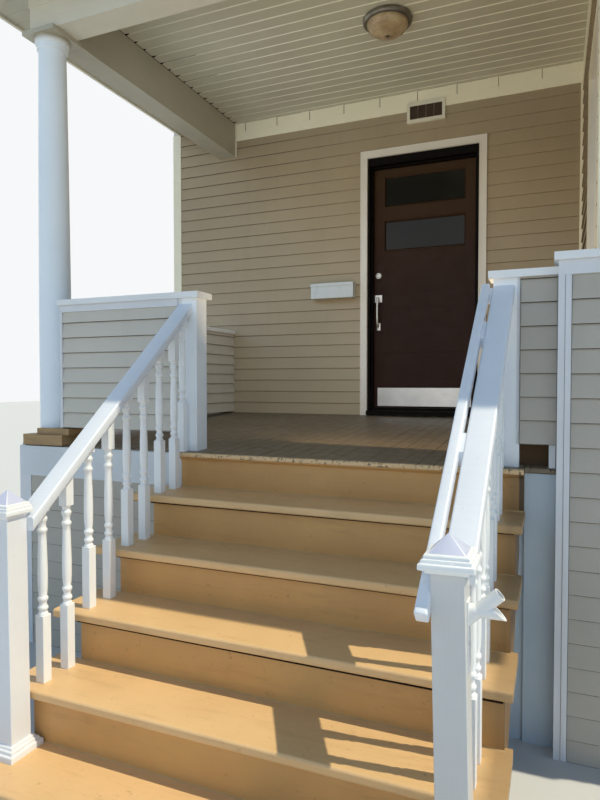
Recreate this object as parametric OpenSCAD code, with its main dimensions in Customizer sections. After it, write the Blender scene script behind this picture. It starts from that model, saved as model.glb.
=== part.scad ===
// Covered front porch of a clapboarded house, with wooden steps, turned balusters and an entrance door.
// Millimetres. X runs along the house, +Y into the house, +Z up, ground at Z = 0.

/* [Porch] */
// Width of the porch deck along the house
deck_w = 4570; // [4200:10:5000]
// Depth of the deck from the siding to its front edge
deck_depth = 2330; // [2100:10:2700]
// Fall of the deck from the house to its front edge
deck_fall = 91; // [20:1:120]
// Thickness of the deck boards
deck_t = 22; // [18:1:30]
// How far the deck boards and treads hang over the riser below
nosing = 30; // [20:1:40]
// Height of the ceiling above the deck at the house
ceiling_h = 2654; // [2500:1:2900]
// Depth of the deck joists
joist_h = 140; // [120:5:180]
// Distance from one joist to the next
joist_step = 406; // [350:2:450]
// Width of the roof and floor framing members
frame_t = 38; // [30:1:50]

/* [Steps] */
// Number of treads below the deck
treads_n = 5; // [4:1:6]
// Rise of each step
rise = 203; // [170:1:215]
// Rise from the top tread to the deck
top_rise = 183; // [160:1:210]
// Going of each step
going = 255; // [240:1:300]
// Going from the top tread's edge to the deck's edge
top_going = 246; // [240:1:300]
// Thickness of a tread
tread_t = 36; // [28:1:45]
// Thickness of a riser board
riser_t = 20; // [15:1:25]
// Middle of the steps, from the middle of the deck
steps_x = -336; // [-400:1:-280]
// Length of a tread
tread_w = 1840; // [1780:5:1900]
// Distance from a tread's end to the middle of the handrail over it
rail_in = 121; // [105:1:135]
// Middle of a tread, from the middle of the steps
tread_shift = -4; // [-30:1:30]

/* [Stair rail] */
// Side of a newel post
newel_w = 90; // [80:1:100]
// Height of a newel post up to its cap
newel_h = 873; // [800:1:1000]
// Side of the newel cap's brim
newel_cap_w = 148; // [136:1:160]
// Height of the newel cap
newel_cap_h = 96; // [80:1:110]
// Side of the moulding round the foot of a newel
newel_foot_w = 150; // [136:1:160]
// Width of the handrail
rail_w = 89; // [70:1:100]
// Thickness of the handrail
rail_t = 38; // [30:1:50]
// Height of the handrail's upper end above the deck's front edge
rail_top_h = 790; // [700:1:860]
// Height of the handrail's top at the newel, above the lowest tread
rail_foot_h = 862; // [780:1:870]
// Side of a baluster's square ends
baluster_w = 38; // [32:1:42]
// Length of a baluster's turned middle
turning_h = 400; // [340:5:440]
// Length of the square foot below the turning
baluster_foot = 262; // [220:1:300]
// Distance from a tread's edge to the middle of its first baluster
baluster_in = 78; // [60:1:95]
// Height of the second, inner rail
grab_h = 44; // [36:1:50]
// Width of the inner rail
grab_t = 36; // [30:1:42]
// Gap between the inner rail and the right handrail
grab_gap = 12; // [9:1:16]
// Lean of the right newel to the left, in degrees
newel_lean = 1.4; // [0:0.1:2]

/* [Low walls] */
// Height of the low walls' top above the deck's front edge
low_wall_h = 851; // [780:1:950]
// Thickness of a low wall
low_wall_t = 100; // [85:1:120]
// Gap under the low walls beside the steps
low_wall_gap = 103; // [80:1:120]
// Distance from the left column's face to the end of the left low wall's siding
low_wall_in = 42; // [20:1:60]
// Width of the post that ends the short wall
short_post_w = 112; // [95:1:125]
// Thickness of the cap boards
cap_t = 32; // [25:1:45]
// How far a cap board hangs over its wall
cap_over = 25; // [15:1:40]
// Length of the short wall right of the steps
short_wall_l = 261; // [240:1:300]
// How far the right front wall stands forward of the short wall
front_wall_step = 70; // [60:1:90]
// Extra height of the right front wall
front_wall_rise = 48; // [30:1:70]
// Depth of the white trim board below a cap
trim_h = 40; // [30:1:60]
// How far trim stands proud of the siding
trim_out = 12; // [8:1:20]
// Depth of the white board below the deck
skirt_board_h = 184; // [150:1:220]

/* [Columns and beams] */
// Diameter of a column at its foot
column_d = 184; // [160:1:210]
// Diameter of a column at its neck
column_neck_d = 158; // [140:1:170]
// Distance from the deck's side edge to the middle of a column
column_in = 153; // [140:1:200]
// Side of the square slab on a column
abacus_w = 236; // [220:1:280]
// Height of a column's capital
capital_h = 96; // [80:1:120]
// Width of the box beams
beam_w = 172; // [150:1:200]
// Clear height of the beams above the deck at the house
beam_z = 2360; // [2250:1:2450]
// Distance from the siding to the middle of the front beam
beam_y = 2160; // [2000:1:2200]
// Side of the lower block under a column
plinth_w = 298; // [270:1:320]
// Thickness of the lower block under a column
plinth_t = 55; // [40:1:70]
// Thickness of the upper board under a column
pad_t = 36; // [30:1:50]

/* [Roof] */
// Overhang of the roof beyond the beams
eave = 450; // [300:10:500]
// Pitch of the roof in degrees
pitch = 18; // [14:0.5:24]
// Thickness of the roof
roof_t = 90; // [70:1:120]
// Depth of the board along the eaves
eave_board_h = 150; // [120:1:190]
// Height of the soffit above the ceiling
soffit_up = 10; // [0:1:40]
// Thickness of the ceiling and soffit panels
panel_t = 12; // [8:1:20]

/* [House] */
// Width of the house wall
house_w = 5454; // [5000:10:5600]
// Thickness of the house walls
wall_t = 190; // [160:1:220]
// Height of the house walls above the deck
wall_h = 3700; // [3550:10:3900]
// Distance from the middle of the deck to the inner corner beside the door
corner_x = 875; // [800:5:950]
// How far the right part of the house stands forward
bay_depth = 1950; // [1800:10:2050]
// Distance from the inner corner to the near jamb of the side window
window_y = 953; // [850:1:1050]
// Width of the side window
window_w = 800; // [700:10:840]
// Height of the side window's sill above the deck
window_z = 850; // [750:10:1000]
// Distance from the ceiling to the top of the side window
window_drop = 563; // [500:1:650]
// Width of the side window's sash members
sash_w = 40; // [30:1:50]
// Depth of the side window's sash behind the wall's face
sash_in = 40; // [30:1:60]
// Height of the frieze board below the ceiling
frieze_h = 151; // [120:1:180]
// Width of the corner boards
corner_board_w = 84; // [70:1:100]

/* [Door] */
// Middle of the door, from the middle of the deck
door_x = -329; // [-380:1:-280]
// Width of the door leaf
leaf_w = 864; // [812:1:914]
// Height of the door leaf
leaf_h = 2032; // [1980:1:2100]
// Thickness of the door leaf
leaf_t = 44; // [35:1:50]
// Gap between the leaf and its frame
leaf_gap = 5; // [5:0.5:8]
// Thickness of the door frame
jamb_t = 19; // [15:1:30]
// Depth of the threshold below the leaf
threshold_h = 64; // [50:1:80]
// How far the leaf's outer face lies behind the siding
leaf_back = 100; // [90:1:110]
// Height of the door frame's head above the leaf
head_t = 63; // [50:1:75]
// Width of the white casing
casing_w = 60; // [50:1:90]
// Thickness of the white casing
casing_t = 20; // [15:1:30]
// Width of the panes and panels in the leaf
panel_w = 670; // [600:1:720]
// Height of a pane or panel
panel_h = 267; // [240:1:290]
// Distance from one panel's foot to the next one's
panel_step = 374; // [350:1:380]
// Height of the lowest panel's foot above the leaf's foot
panel_z = 208; // [190:1:215]
// Depth of the panels behind the leaf's outer face
panel_in = 8; // [4:1:12]
// Height of the steel kick plate
kick_h = 156; // [120:1:200]

/* [Fittings] */
// Width of the letter box
box_w = 381; // [340:1:420]
// Height of the letter box
box_h = 128; // [110:1:150]
// Depth of the letter box
box_d = 95; // [80:1:120]
// Thickness of the letter box sheet
box_t = 3; // [2:0.5:4]
// Height of the letter box's top above the deck at the house
box_z = 1131; // [1000:1:1250]
// Width of the number plate
plate_w = 309; // [280:1:340]
// Height of the number plate
plate_h = 163; // [140:1:180]
// Diameter of the ceiling light's rim
light_d = 320; // [280:1:360]
// Distance from the siding to the ceiling light
light_out = 1085; // [900:5:1250]

/* [Hidden] */
$fn = 48;
half_w = deck_w / 2;
half_d = (wall_t + deck_depth + top_going + (treads_n - 1) * going) / 2;
wall_y = half_d - wall_t;
deck_front = wall_y - deck_depth;
front_z = treads_n * rise + top_rise;
house_z = front_z + deck_fall;
ceiling_z = house_z + ceiling_h;
beam_bottom = house_z + beam_z;
wall_top = house_z + wall_h;
under_z = front_z - deck_t;
skirt_y = deck_front + nosing;

function deck_z(y) = house_z - deck_fall * (wall_y - y) / deck_depth;
function nose_y(k) = deck_front - (k > 0 ? top_going + (k - 1) * going : 0);
function tread_z(k) = (treads_n + 1 - k) * rise;
function riser_y(k) = nose_y(k - 1) + nosing;
function riser_top(k) = k == 1 ? under_z : tread_z(k - 1) - tread_t;

// The steps
rail_x = tread_w / 2 - rail_in;
left_rail = steps_x - rail_x;
right_out = 9;
right_rail = steps_x + rail_x + right_out;
string_left = left_rail - 2;
string_right = right_rail + 92 - right_out;
newel_y = nose_y(treads_n) + 202;
rail_low_y = newel_y + newel_w / 2;
rail_low_z = tread_z(treads_n) + rail_foot_h;
rail_high_z = front_z + rail_top_h;

// The low walls
low_y = skirt_y + 43;
low_back = low_y + low_wall_t;
low_top = front_z + low_wall_h;
low_bottom = front_z + low_wall_gap;
cap_bottom = low_top - cap_t;
post_w = newel_w;
left_wall_end = left_rail + 68;
right_wall_end = right_rail - 33;
short_end = right_wall_end + short_wall_l;
front_wall_y = low_y - front_wall_step;
front_wall_back = front_wall_y + low_wall_t;
front_wall_top = low_top + front_wall_rise;
rail_high_y = low_y;
rail_slope = atan((rail_high_z - rail_low_z) / (rail_high_y - rail_low_y));

// The columns, beams and roof
column_x = half_w - column_in;
column_y = wall_y - beam_y;
plinth_top = deck_z(column_y) + plinth_t;
column_z = plinth_top + pad_t;
column_gap = column_d / 2 + 1;
block_shift = 33;
pad_w = plinth_w - 58;
pad_shift = 90;
corner_in = column_x - pad_shift - pad_w / 2;
low_wall_start = -column_x + column_gap + low_wall_in;
short_left = right_wall_end - cap_over + 5;
header_out = string_right + riser_t;
beam_top = ceiling_z + panel_t;
beam_h = beam_top - beam_bottom;
side_beam_l = wall_y - column_y - beam_w / 2;
bay_y = wall_y - bay_depth;
soffit_z = ceiling_z + soffit_up;
eave_x = column_x + beam_w / 2 + eave;
eave_y = column_y - beam_w / 2 - eave;
eave_z = soffit_z + eave_board_h;
roof_rise = (wall_y - eave_y) * tan(pitch);
board_drop = 15;

// The door
open_w = leaf_w + 2 * leaf_gap + 2 * jamb_t;
open_z = house_z + threshold_h + leaf_h + 2 * leaf_gap + head_t;
leaf_z = house_z + threshold_h + leaf_gap;
leaf_y = wall_y + leaf_back;
hinge_x = door_x + leaf_w / 2;

// Box from one corner to the opposite one
module block(a, b) { translate(a) cube([b[0] - a[0], b[1] - a[1], b[2] - a[2]]); }

// Piece with upright ends that follows the deck's slope, its top at a drop below the deck
module sloping(x0, x1, y0, y1, drop, t) {
  z0 = deck_z(y0) - drop;
  z1 = deck_z(y1) - drop;
  translate([x0, 0, 0]) rotate([90, 0, 90]) linear_extrude(x1 - x0)
    polygon([[y0, z0], [y1, z1], [y1, z1 - t], [y0, z0 - t]]);
}

// Block that stands on the sloping deck and has a level top
module standing(x0, x1, y0, y1, top) {
  translate([x0, 0, 0]) rotate([90, 0, 90]) linear_extrude(x1 - x0)
    polygon([[y0, deck_z(y0)], [y1, deck_z(y1)], [y1, top], [y0, top]]);
}

// Outline of a board whose front edge is rounded
module nosed_outline(depth, t) {
  r = t * 0.3;
  translate([r, 0]) square([depth - r, t]);
  translate([0, r]) square([r + 1, t - 2 * r]);
  translate([r, r]) circle(r);
  translate([r, t - r]) circle(r);
}

// Board along X from x0 to x1 with its rounded front edge at y and its top at z
module nosed_board(x0, x1, y, z, depth, t) {
  translate([x0, y, z - t]) rotate([90, 0, 90]) linear_extrude(x1 - x0) nosed_outline(depth, t);
}

// Sloping deck of boards, with its nose over the steps
module deck() {
  edge = skirt_y + riser_t;
  side = half_w - riser_t;
  back = front_wall_back;
  flush = low_y - 12;
  color("#9c8a6e") intersection() {
    sloping(-half_w, half_w, deck_front - 10, wall_y + 10, 0, deck_t);
    linear_extrude(house_z + 10) polygon([[-side, edge], [string_left, edge], [string_left, deck_front],
      [header_out, deck_front], [header_out, flush], [short_end, flush], [short_end, back],
      [corner_in, back], [corner_in, edge], [side, edge], [side, bay_y],
      [corner_x, bay_y], [corner_x, wall_y], [-side, wall_y]]);
  }
}

// Joists under the deck and the beam behind the top riser
module deck_frame() {
  y = skirt_y + riser_t;
  x = header_out;
  color("#b08d5f") {
    for (x = [-half_w + joist_step * 0.75 : joist_step : half_w - joist_step / 2])
      sloping(x, x + frame_t, y + frame_t + 45, x + frame_t <= corner_x ? wall_y : bay_y, deck_t,
              joist_h);
    block([string_left, y, under_z - joist_h], [x, y + frame_t, under_z]);
    block([x, low_y + 12, under_z - joist_h], [short_end, low_y + 12 + frame_t, under_z]);
  }
}

// White boards below the edge of the deck
module skirt_boards() {
  h = skirt_board_h;
  y = skirt_y;
  x = corner_in;
  side = half_w - riser_t;
  top = front_z - 8;
  color("#e8eaec") {
    block([-half_w, y, front_z - h], [string_left, y + riser_t, top]);
    block([x, y, front_z - h], [half_w, y + riser_t, top]);
    sloping(-half_w, -side, y + riser_t, wall_y, 0, h);
    sloping(side, half_w, y + riser_t, bay_y, 0, h);
  }
}

// Siding from the white boards down to the ground, at the left front and both sides
module left_skirt_wall() {
  color("#b9b0a4") {
    block([-half_w + 8, skirt_y + 8, 0], [string_left, skirt_y + riser_t, front_z - skirt_board_h]);
    from_ground(-half_w + 8, -half_w + riser_t, skirt_y + riser_t, wall_y);
  }
}

// Sheet that stands on the ground and reaches up to the white board under the sloping deck
module from_ground(x0, x1, y0, y1) {
  h = skirt_board_h;
  translate([x0, 0, 0]) rotate([90, 0, 90]) linear_extrude(x1 - x0)
    polygon([[y0, 0], [y1, 0], [y1, deck_z(y1) - h], [y0, deck_z(y0) - h]]);
}

module right_skirt_wall() {
  color("#b9b0a4") {
    block([corner_in, skirt_y + 8, 0], [half_w - 8, skirt_y + riser_t, front_z - skirt_board_h]);
    from_ground(half_w - riser_t, half_w - 8, skirt_y + riser_t, bay_y);
  }
}

// Smooth board beside the steps, below the short wall
module right_skirt_board() {
  x = string_right - 155;
  y = skirt_y + riser_t + frame_t;
  color("#dfe4e8") {
    block([header_out, low_y, 0], [short_end, low_y + 12, under_z]);
    block([x, y, 0], [header_out + frame_t / 2, y + 12, under_z - joist_h]);
  }
}

// Moulding under the deck's nose, above the top riser
module cove() {
  w = nosing - 10;
  color("#b3843f") translate([string_left, skirt_y, under_z]) rotate([90, 0, 90])
    linear_extrude(string_right + riser_t - string_left)
      polygon([[0, 0], [-w, 0], [-w, -5], [-w + 4, -7], [-w * 0.45, -11], [-4, -18], [-4, -22],
               [0, -22]]);
}

// One tread, number k from the top
module tread(k) {
  x = steps_x + tread_shift;
  depth = riser_y(k) + riser_t - nose_y(k);
  nosed_board(string_left, x + tread_w / 2, nose_y(k), tread_z(k), depth, tread_t);
  nosed_board(x - tread_w / 2, string_left, nose_y(k), tread_z(k), depth - riser_t - 0.3,
              tread_t);
}

module treads() { color("#c9974f") for (k = [1 : treads_n]) tread(k); }

module risers() {
  color("#b3843f") for (k = [1 : treads_n + 1])
    block([string_left, riser_y(k), tread_z(k)],
          [string_right + (k == 1 ? riser_t : 0), riser_y(k) + riser_t, riser_top(k)]);
}

// Outline of a stringer, stepped on top to carry risers and treads
module stringer_outline() {
  foot_l = 300;
  steps = [for (k = [treads_n + 1 : -1 : 1]) each [
    [riser_y(k) + riser_t, k > treads_n ? 0 : tread_z(k) - tread_t],
    [riser_y(k) + riser_t, riser_top(k) - (k == 1 ? joist_h : 0)]]];
  top_y = riser_y(1) + riser_t;
  polygon(concat(steps, [[top_y + frame_t, under_z - joist_h], [top_y + frame_t, tread_z(2)],
                         [riser_y(treads_n + 1) + foot_l, 0]]));
}

module stringers() {
  middle = (string_left + string_right - frame_t) / 2;
  color("#a97c3d") for (x = [string_left, middle, string_right - frame_t])
    translate([x, 0, 0]) rotate([90, 0, 90]) linear_extrude(frame_t) stringer_outline();
}

// Post with a moulded foot and a pyramid cap, its shaft leaning to the left
module newel(lean) {
  foot = newel_foot_w;
  translate([-foot / 2, -foot / 2, 0]) cube([foot, foot, 22]);
  translate([-foot / 2 + 9, -foot / 2 + 9, 22]) cube([foot - 18, foot - 18, 12]);
  translate([-foot / 2 + 18, -foot / 2 + 18, 34]) cube([foot - 36, foot - 36, 10]);
  brim = newel_cap_w;
  rise_z = newel_cap_h - 28;
  translate([0, 0, 3]) rotate([0, -lean, 0]) translate([0, 0, -3]) {
    translate([-newel_w / 2, -newel_w / 2, 3]) cube([newel_w, newel_w, newel_h - 3]);
    translate([-brim / 2 + 16, -brim / 2 + 16, newel_h - 10]) cube([brim - 32, brim - 32, 10]);
    translate([-brim / 2, -brim / 2, newel_h]) cube([brim, brim, 18]);
    translate([-brim / 2 + 7, -brim / 2 + 7, newel_h + 18]) cube([brim - 14, brim - 14, 10]);
    translate([0, 0, newel_h + 28]) rotate([0, 0, 45])
      cylinder(h = rise_z, r1 = (brim / 2 - 14) * sqrt(2), r2 = 1, $fn = 4);
  }
}

left_newel_x = left_rail - 20;
right_newel_x = right_rail - 17;
module newels() {
  color("#f2f3f4") {
    difference() {
      translate([left_newel_x, newel_y, tread_z(treads_n)]) newel(0);
      left_rail_bar(0.3);
    }
    difference() {
      translate([right_newel_x, newel_y, tread_z(treads_n)]) newel(newel_lean);
      right_rail_bar(0.3);
      inner_rail_bar(0.3);
      grab_block(0, 0.3);
    }
  }
}

// Side view of a sloping rail between two upright cuts, by the height of its top at each end
module rail_outline(y0, z0, y1, z1, t) { polygon([[y0, z0], [y1, z1], [y1, z1 - t], [y0, z0 - t]]); }

rail_drop = rail_t / cos(rail_slope);

// Side view of a handrail, grown by a gap
module rail_side(gap) {
  rail_outline(rail_low_y, rail_low_z + 2 * gap, rail_high_y, rail_high_z + 2 * gap,
               rail_drop + 4 * gap);
}

module left_rail_bar(gap) {
  w = rail_w / 2 + gap;
  translate([left_rail - w, 0, 0]) rotate([90, 0, 90]) linear_extrude(2 * w) rail_side(gap);
}

// The right handrail runs askew: its middle at a depth y
rail_low_x = right_rail - 21;
rail_high_x = right_rail + 11;
rail_reach = 160;
function askew_x(y) =
  rail_low_x + (y - rail_low_y) * (rail_high_x - rail_low_x) / (rail_high_y - rail_low_y);

// Upright slice that follows the right handrail in plan, from a to b beside its middle
module askew(a, b, y0, y1) {
  linear_extrude(low_top) polygon([[askew_x(y0) + a, y0], [askew_x(y0) + b, y0],
                                   [askew_x(y1) + b, y1], [askew_x(y1) + a, y1]]);
}

module across_steps() {
  translate([right_rail - rail_reach, 0, 0]) rotate([90, 0, 90]) linear_extrude(2 * rail_reach) children();
}

module right_rail_bar(gap) {
  w = rail_w / 2 + gap;
  intersection() {
    across_steps() rail_side(gap);
    askew(-w, w, rail_low_y - 1, rail_high_y + 1);
  }
}

module handrails() {
  color("#eef1f4") {
    left_rail_bar(0);
    right_rail_bar(0);
  }
}

// Second, narrow rail inside the right handrail, held off it by blocks
inner_low_y = newel_y - newel_w / 2 - 49;
inner_high_y = low_y - 15;
inner_up = 16 / cos(rail_slope);
inner_in = rail_w / 2 + grab_gap;
function inner_z(y) = rail_low_z + inner_up + (y - rail_low_y) * tan(rail_slope);

module inner_rail_bar(gap) {
  y0 = inner_low_y;
  y1 = inner_high_y;
  drop = grab_h / cos(rail_slope) + 2 * gap;
  heel = y0 + drop * sin(rail_slope) * cos(rail_slope);
  intersection() {
    across_steps() polygon([[heel, inner_z(heel) - drop], [y0, inner_z(y0) + 2 * gap],
                            [y1, inner_z(y1) + 2 * gap], [y1, inner_z(y1) - drop]]);
    askew(-inner_in - grab_t - gap, -inner_in + gap, y0 - 6, y1);
  }
}

block_mid = [0.021, 0.33, 0.776, 0.973];
block_l = [44, 67, 74, 33];
module grab_block(i, gap) {
  y0 = rail_low_y + block_mid[i] * (rail_high_y - rail_low_y) - block_l[i] / 2 - gap;
  y1 = y0 + block_l[i] + 2 * gap;
  up = inner_up - 2 * gap;
  intersection() {
    across_steps() rail_outline(y0, inner_z(y0) - up, y1, inner_z(y1) - up, 36 + 4 * gap);
    askew(-inner_in, -rail_w / 2, y0, y1);
  }
}

module inner_rail() {
  color("#eef1f4") {
    inner_rail_bar(0);
    for (i = [0 : 3]) grab_block(i, 0);
  }
}

// Turned baluster of height h: square ends and a turned vase between beads
module baluster(h) {
  s = baluster_w;
  r = s / 2;
  t = turning_h;
  foot = baluster_foot;
  translate([-r, -r, 0]) cube([s, s, foot]);
  translate([-r, -r, foot + t]) cube([s, s, h - foot - t]);
  translate([0, 0, foot]) rotate_extrude($fn = 32) polygon(concat(
    [[0, 0], [r * 0.92, 0], [r * 0.66, t * 0.025], [r * 0.66, t * 0.04]],
    [[r * 0.95, t * 0.055], [r * 0.95, t * 0.075], [r * 0.68, t * 0.09], [r * 0.68, t * 0.13]],
    [[r * 0.94, t * 0.145], [r * 0.94, t * 0.165]],
    [for (i = [0 : 10]) let (f = i / 10)
      [r * (0.72 + 0.2 * sin(180 * pow(f, 0.6))), t * (0.18 + 0.62 * f)]],
    [[r * 0.94, t * 0.815], [r * 0.94, t * 0.835], [r * 0.66, t * 0.85], [r * 0.66, t * 0.905]],
    [[r * 0.95, t * 0.925], [r * 0.95, t * 0.945], [r * 0.64, t * 0.96], [r * 0.64, t * 0.975]],
    [[r * 0.92, t], [0, t]]));
}

function rail_under(y) = rail_high_z - 0.1 - rail_drop - (rail_high_y - y) * tan(rail_slope);

// Row of balusters under one rail: two on each tread and one on the deck
module baluster_row(x) {
  for (k = [1 : treads_n - 1], j = [0, 1]) {
    y = nose_y(k) + baluster_in + j * going / 2;
    translate([x, y, tread_z(k)]) sloped_baluster(y, rail_under(y) - tread_z(k));
  }
  y = deck_front + baluster_w;
  foot_z = deck_z(y + baluster_w / 2);
  translate([x, y, foot_z]) sloped_baluster(y, rail_under(y) - foot_z);
}

// Baluster cut off along the slope of the rail above it
module sloped_baluster(y, h) {
  r = baluster_w / 2;
  extra = r * tan(rail_slope);
  difference() {
    baluster(h + extra);
    rotate([90, 0, 90]) translate([0, 0, -r - 1]) linear_extrude(baluster_w + 2)
      polygon([[-r - 1, h - (r + 1) * tan(rail_slope)], [r + 1, h + (r + 1) * tan(rail_slope)],
               [r + 1, h + extra + 9], [-r - 1, h + extra + 9]]);
  }
}

module left_balusters() { color("#f2f3f4") baluster_row(left_rail); }
module right_balusters() { color("#f2f3f4") baluster_row(right_rail); }

// Posts that end the low walls at the steps
module low_wall_posts() {
  color("#eef0f1") {
    standing(left_wall_end - post_w, left_wall_end, low_y, low_back, cap_bottom);
    standing(right_wall_end, right_wall_end + short_post_w, low_y, low_back, cap_bottom);
  }
}

module left_low_wall() {
  x = low_wall_start;
  color("#c2bab0") {
    block([x, low_y, low_bottom], [left_wall_end - post_w, low_back, cap_bottom]);
    block([-column_x + column_gap, low_y + low_wall_t / 2, low_bottom], [x, low_back, cap_bottom]);
  }
}

module left_side_wall() {
  x = -column_x;
  color("#c2bab0") block([x - low_wall_t / 2, column_y + column_gap, low_bottom],
                         [x + low_wall_t / 2, wall_y, cap_bottom]);
}

module short_low_wall() {
  color("#c2bab0") block([right_wall_end + short_post_w, low_y, low_bottom],
                         [short_end, low_back, cap_bottom]);
}

// Wall that closes the porch at the right front, from the ground up
module right_front_wall() {
  p = corner_in;
  h = front_wall_top - cap_t;
  color("#b9b6b2") translate([0, front_wall_back, 0]) rotate([90, 0, 0]) linear_extrude(low_wall_t)
    polygon([[short_end, 0], [p, 0], [p, column_z], [column_x - column_gap, column_z],
             [column_x - column_gap, h], [short_end, h]]);
}

module right_side_wall() {
  x = column_x;
  color("#b9b6b2") block([x - low_wall_t / 2, column_y + column_gap, low_bottom],
                         [x + low_wall_t / 2, bay_y, cap_bottom]);
}

module left_cap() {
  color("#eef3f6") block([low_wall_start - 7, low_y - cap_over, cap_bottom],
                         [left_wall_end + cap_over - 5, low_back + cap_over, low_top]);
}

module right_cap() {
  color("#eef3f6") {
    block([short_left, low_y - cap_over, cap_bottom], [short_end, low_back + cap_over, low_top]);
    block([short_end - 17, front_wall_y - cap_over, front_wall_top - cap_t],
          [column_x - column_gap, front_wall_back + cap_over, front_wall_top]);
  }
}

module side_caps() {
  color("#eef3f6") for (s = [-1, 1]) {
    x = s * column_x;
    over = low_wall_t / 2 + cap_over;
    block([x - over, column_y + column_gap, cap_bottom], [x + over, s < 0 ? wall_y : bay_y, low_top]);
  }
}

// White boards on the face of the low walls and at the corners of the siding
module low_wall_trim() {
  y = low_y;
  left = low_wall_start;
  color("#eef0f1") {
    right = min(left_wall_end - post_w, left_rail - rail_w / 2 - 1);
    block([left, y - trim_out, cap_bottom - trim_h], [right, y, cap_bottom]);
    block([left, y - trim_out, low_bottom], [left + trim_h / 2, y, cap_bottom - trim_h]);
    fy = front_wall_y;
    fz = front_wall_top - cap_t;
    block([short_end, fy - trim_out, fz - 60], [column_x - column_gap, fy, fz]);
    block([short_end, fy - trim_out, 0], [short_end + 50, fy, fz - 60]);
    z = front_z - skirt_board_h;
    block([-half_w, skirt_y, 0], [-half_w + corner_board_w, skirt_y + 8, z]);
    block([-half_w, skirt_y + 8, 0], [-half_w + 8, skirt_y + corner_board_w, z]);
  }
}

// Two blocks under each column
module plinths() {
  color("#a9803f") for (s = [-1, 1]) {
    x = s * (column_x - block_shift);
    p = plinth_w / 2;
    y = column_y;
    pad_x = s * (column_x - pad_shift);
    standing(x - p, x + p, y - p, y + p, plinth_top);
    block([pad_x - pad_w / 2, y - p + 25, plinth_top], [pad_x + pad_w / 2, y + p - 30, column_z]);
  }
}

// Tapered round column with a turned capital and a square slab
module column() {
  h = beam_bottom - column_z;
  r = column_d / 2;
  n = column_neck_d / 2;
  c = h - capital_h;
  rotate_extrude($fn = 64) polygon(concat([[0, 0], [r, 0], [r, h * 0.3]],
    [for (i = [1 : 6]) let (f = i / 6)
      [r - (r - n) * f * f * 0.4 - (r - n) * f * 0.6, h * 0.3 + (c - h * 0.3) * f]],
    [[n + 5, c], [n + 9, c + 5], [n + 9, c + 11], [n + 4, c + 16], [n + 4, c + 30]],
    [for (i = [0 : 5]) let (a = i * 18) [n + 4 + 20 * sin(a), c + 30 + 34 * (1 - cos(a))]],
    [[n + 24, h - 26], [0, h - 26]]));
  translate([-abacus_w / 2, -abacus_w / 2, h - 26]) cube([abacus_w, abacus_w, 26]);
}

module columns() {
  color("#e6eaee") for (s = [-1, 1]) translate([s * column_x, column_y, column_z]) column();
}

module front_beam() {
  x = column_x + beam_w / 2;
  color("#d9d4c6") {
    block([-x, column_y - beam_w / 2, beam_bottom], [x, column_y + beam_w / 2, beam_top]);
    block([-x - 6, column_y - beam_w / 2 - 6, ceiling_z - 150],
          [x + 6, column_y - beam_w / 2, soffit_z]);
  }
}

module side_beams() {
  color("#d2ccbc") for (s = [-1, 1]) {
    x = s * column_x;
    block([x - beam_w / 2, column_y + beam_w / 2, beam_bottom],
          [x + beam_w / 2, s < 0 ? wall_y : bay_y, beam_top]);
  }
}

// Ceiling panel, in front of the door and in front of the right part of the house
module ceiling() {
  x = column_x - beam_w / 2;
  y = column_y + beam_w / 2;
  color("#dcd8cc") {
    block([-x, y, ceiling_z], [corner_x, wall_y, beam_top]);
    block([corner_x, y, ceiling_z], [x, bay_y, beam_top]);
  }
}

// Flat panels under the overhanging eaves
module soffit() {
  x = column_x + beam_w / 2;
  y = column_y - beam_w / 2;
  b = riser_t;
  color("#bdb8aa") {
    block([-eave_x + b, eave_y + b, soffit_z], [eave_x - b, y, soffit_z + panel_t]);
    block([-eave_x + b, y, soffit_z], [-x, wall_y, soffit_z + panel_t]);
    block([x, y, soffit_z], [eave_x - b, bay_y, soffit_z + panel_t]);
  }
}

module eave_boards() {
  b = riser_t;
  z = soffit_z - board_drop;
  top = eave_z - 25;
  color("#e9e5da") {
    block([-eave_x, eave_y, z], [eave_x, eave_y + b, top]);
    block([-eave_x, eave_y + b, z], [-eave_x + b, wall_y, top]);
    block([eave_x - b, eave_y + b, z], [eave_x, bay_y, top]);
  }
}

// Solid under the three sloping planes of the hipped roof
module hip(drop) {
  peak = eave_x * tan(pitch);
  intersection() {
    translate([-eave_x, 0, eave_z - drop]) rotate([90, 0, 90]) linear_extrude(2 * eave_x)
      polygon([[eave_y, 0], [wall_y, roof_rise], [wall_y, -roof_t], [eave_y, -roof_t]]);
    translate([0, wall_y, eave_z - drop]) rotate([90, 0, 0]) linear_extrude(wall_y - eave_y)
      polygon([[-eave_x, 0], [0, peak], [eave_x, 0], [eave_x, -roof_t], [-eave_x, -roof_t]]);
  }
}

module roof() {
  color("#6e6a66") difference() {
    hip(0);
    hip(roof_t);
    block([-eave_x - 1, eave_y - 1, 0], [eave_x + 1, wall_y + 1, eave_z - 25]);
    block([corner_x, bay_y, 0], [eave_x + 1, wall_y + 1, wall_top]);
  }
}

// House wall from the ground to the door's threshold
module house_base() {
  color("#a8a096") block([-house_w / 2, wall_y, 0], [corner_x, wall_y + wall_t, house_z]);
}

module house_wall_left() {
  color("#b5aa93") block([-house_w / 2, wall_y, house_z],
                         [door_x - open_w / 2, wall_y + wall_t, wall_top]);
}

module house_wall_right() {
  color("#b5aa93") block([door_x + open_w / 2, wall_y, house_z],
                         [corner_x, wall_y + wall_t, wall_top]);
}

module house_wall_top() {
  color("#b5aa93") block([door_x - open_w / 2, wall_y, open_z],
                         [door_x + open_w / 2, wall_y + wall_t, wall_top]);
}

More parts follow.
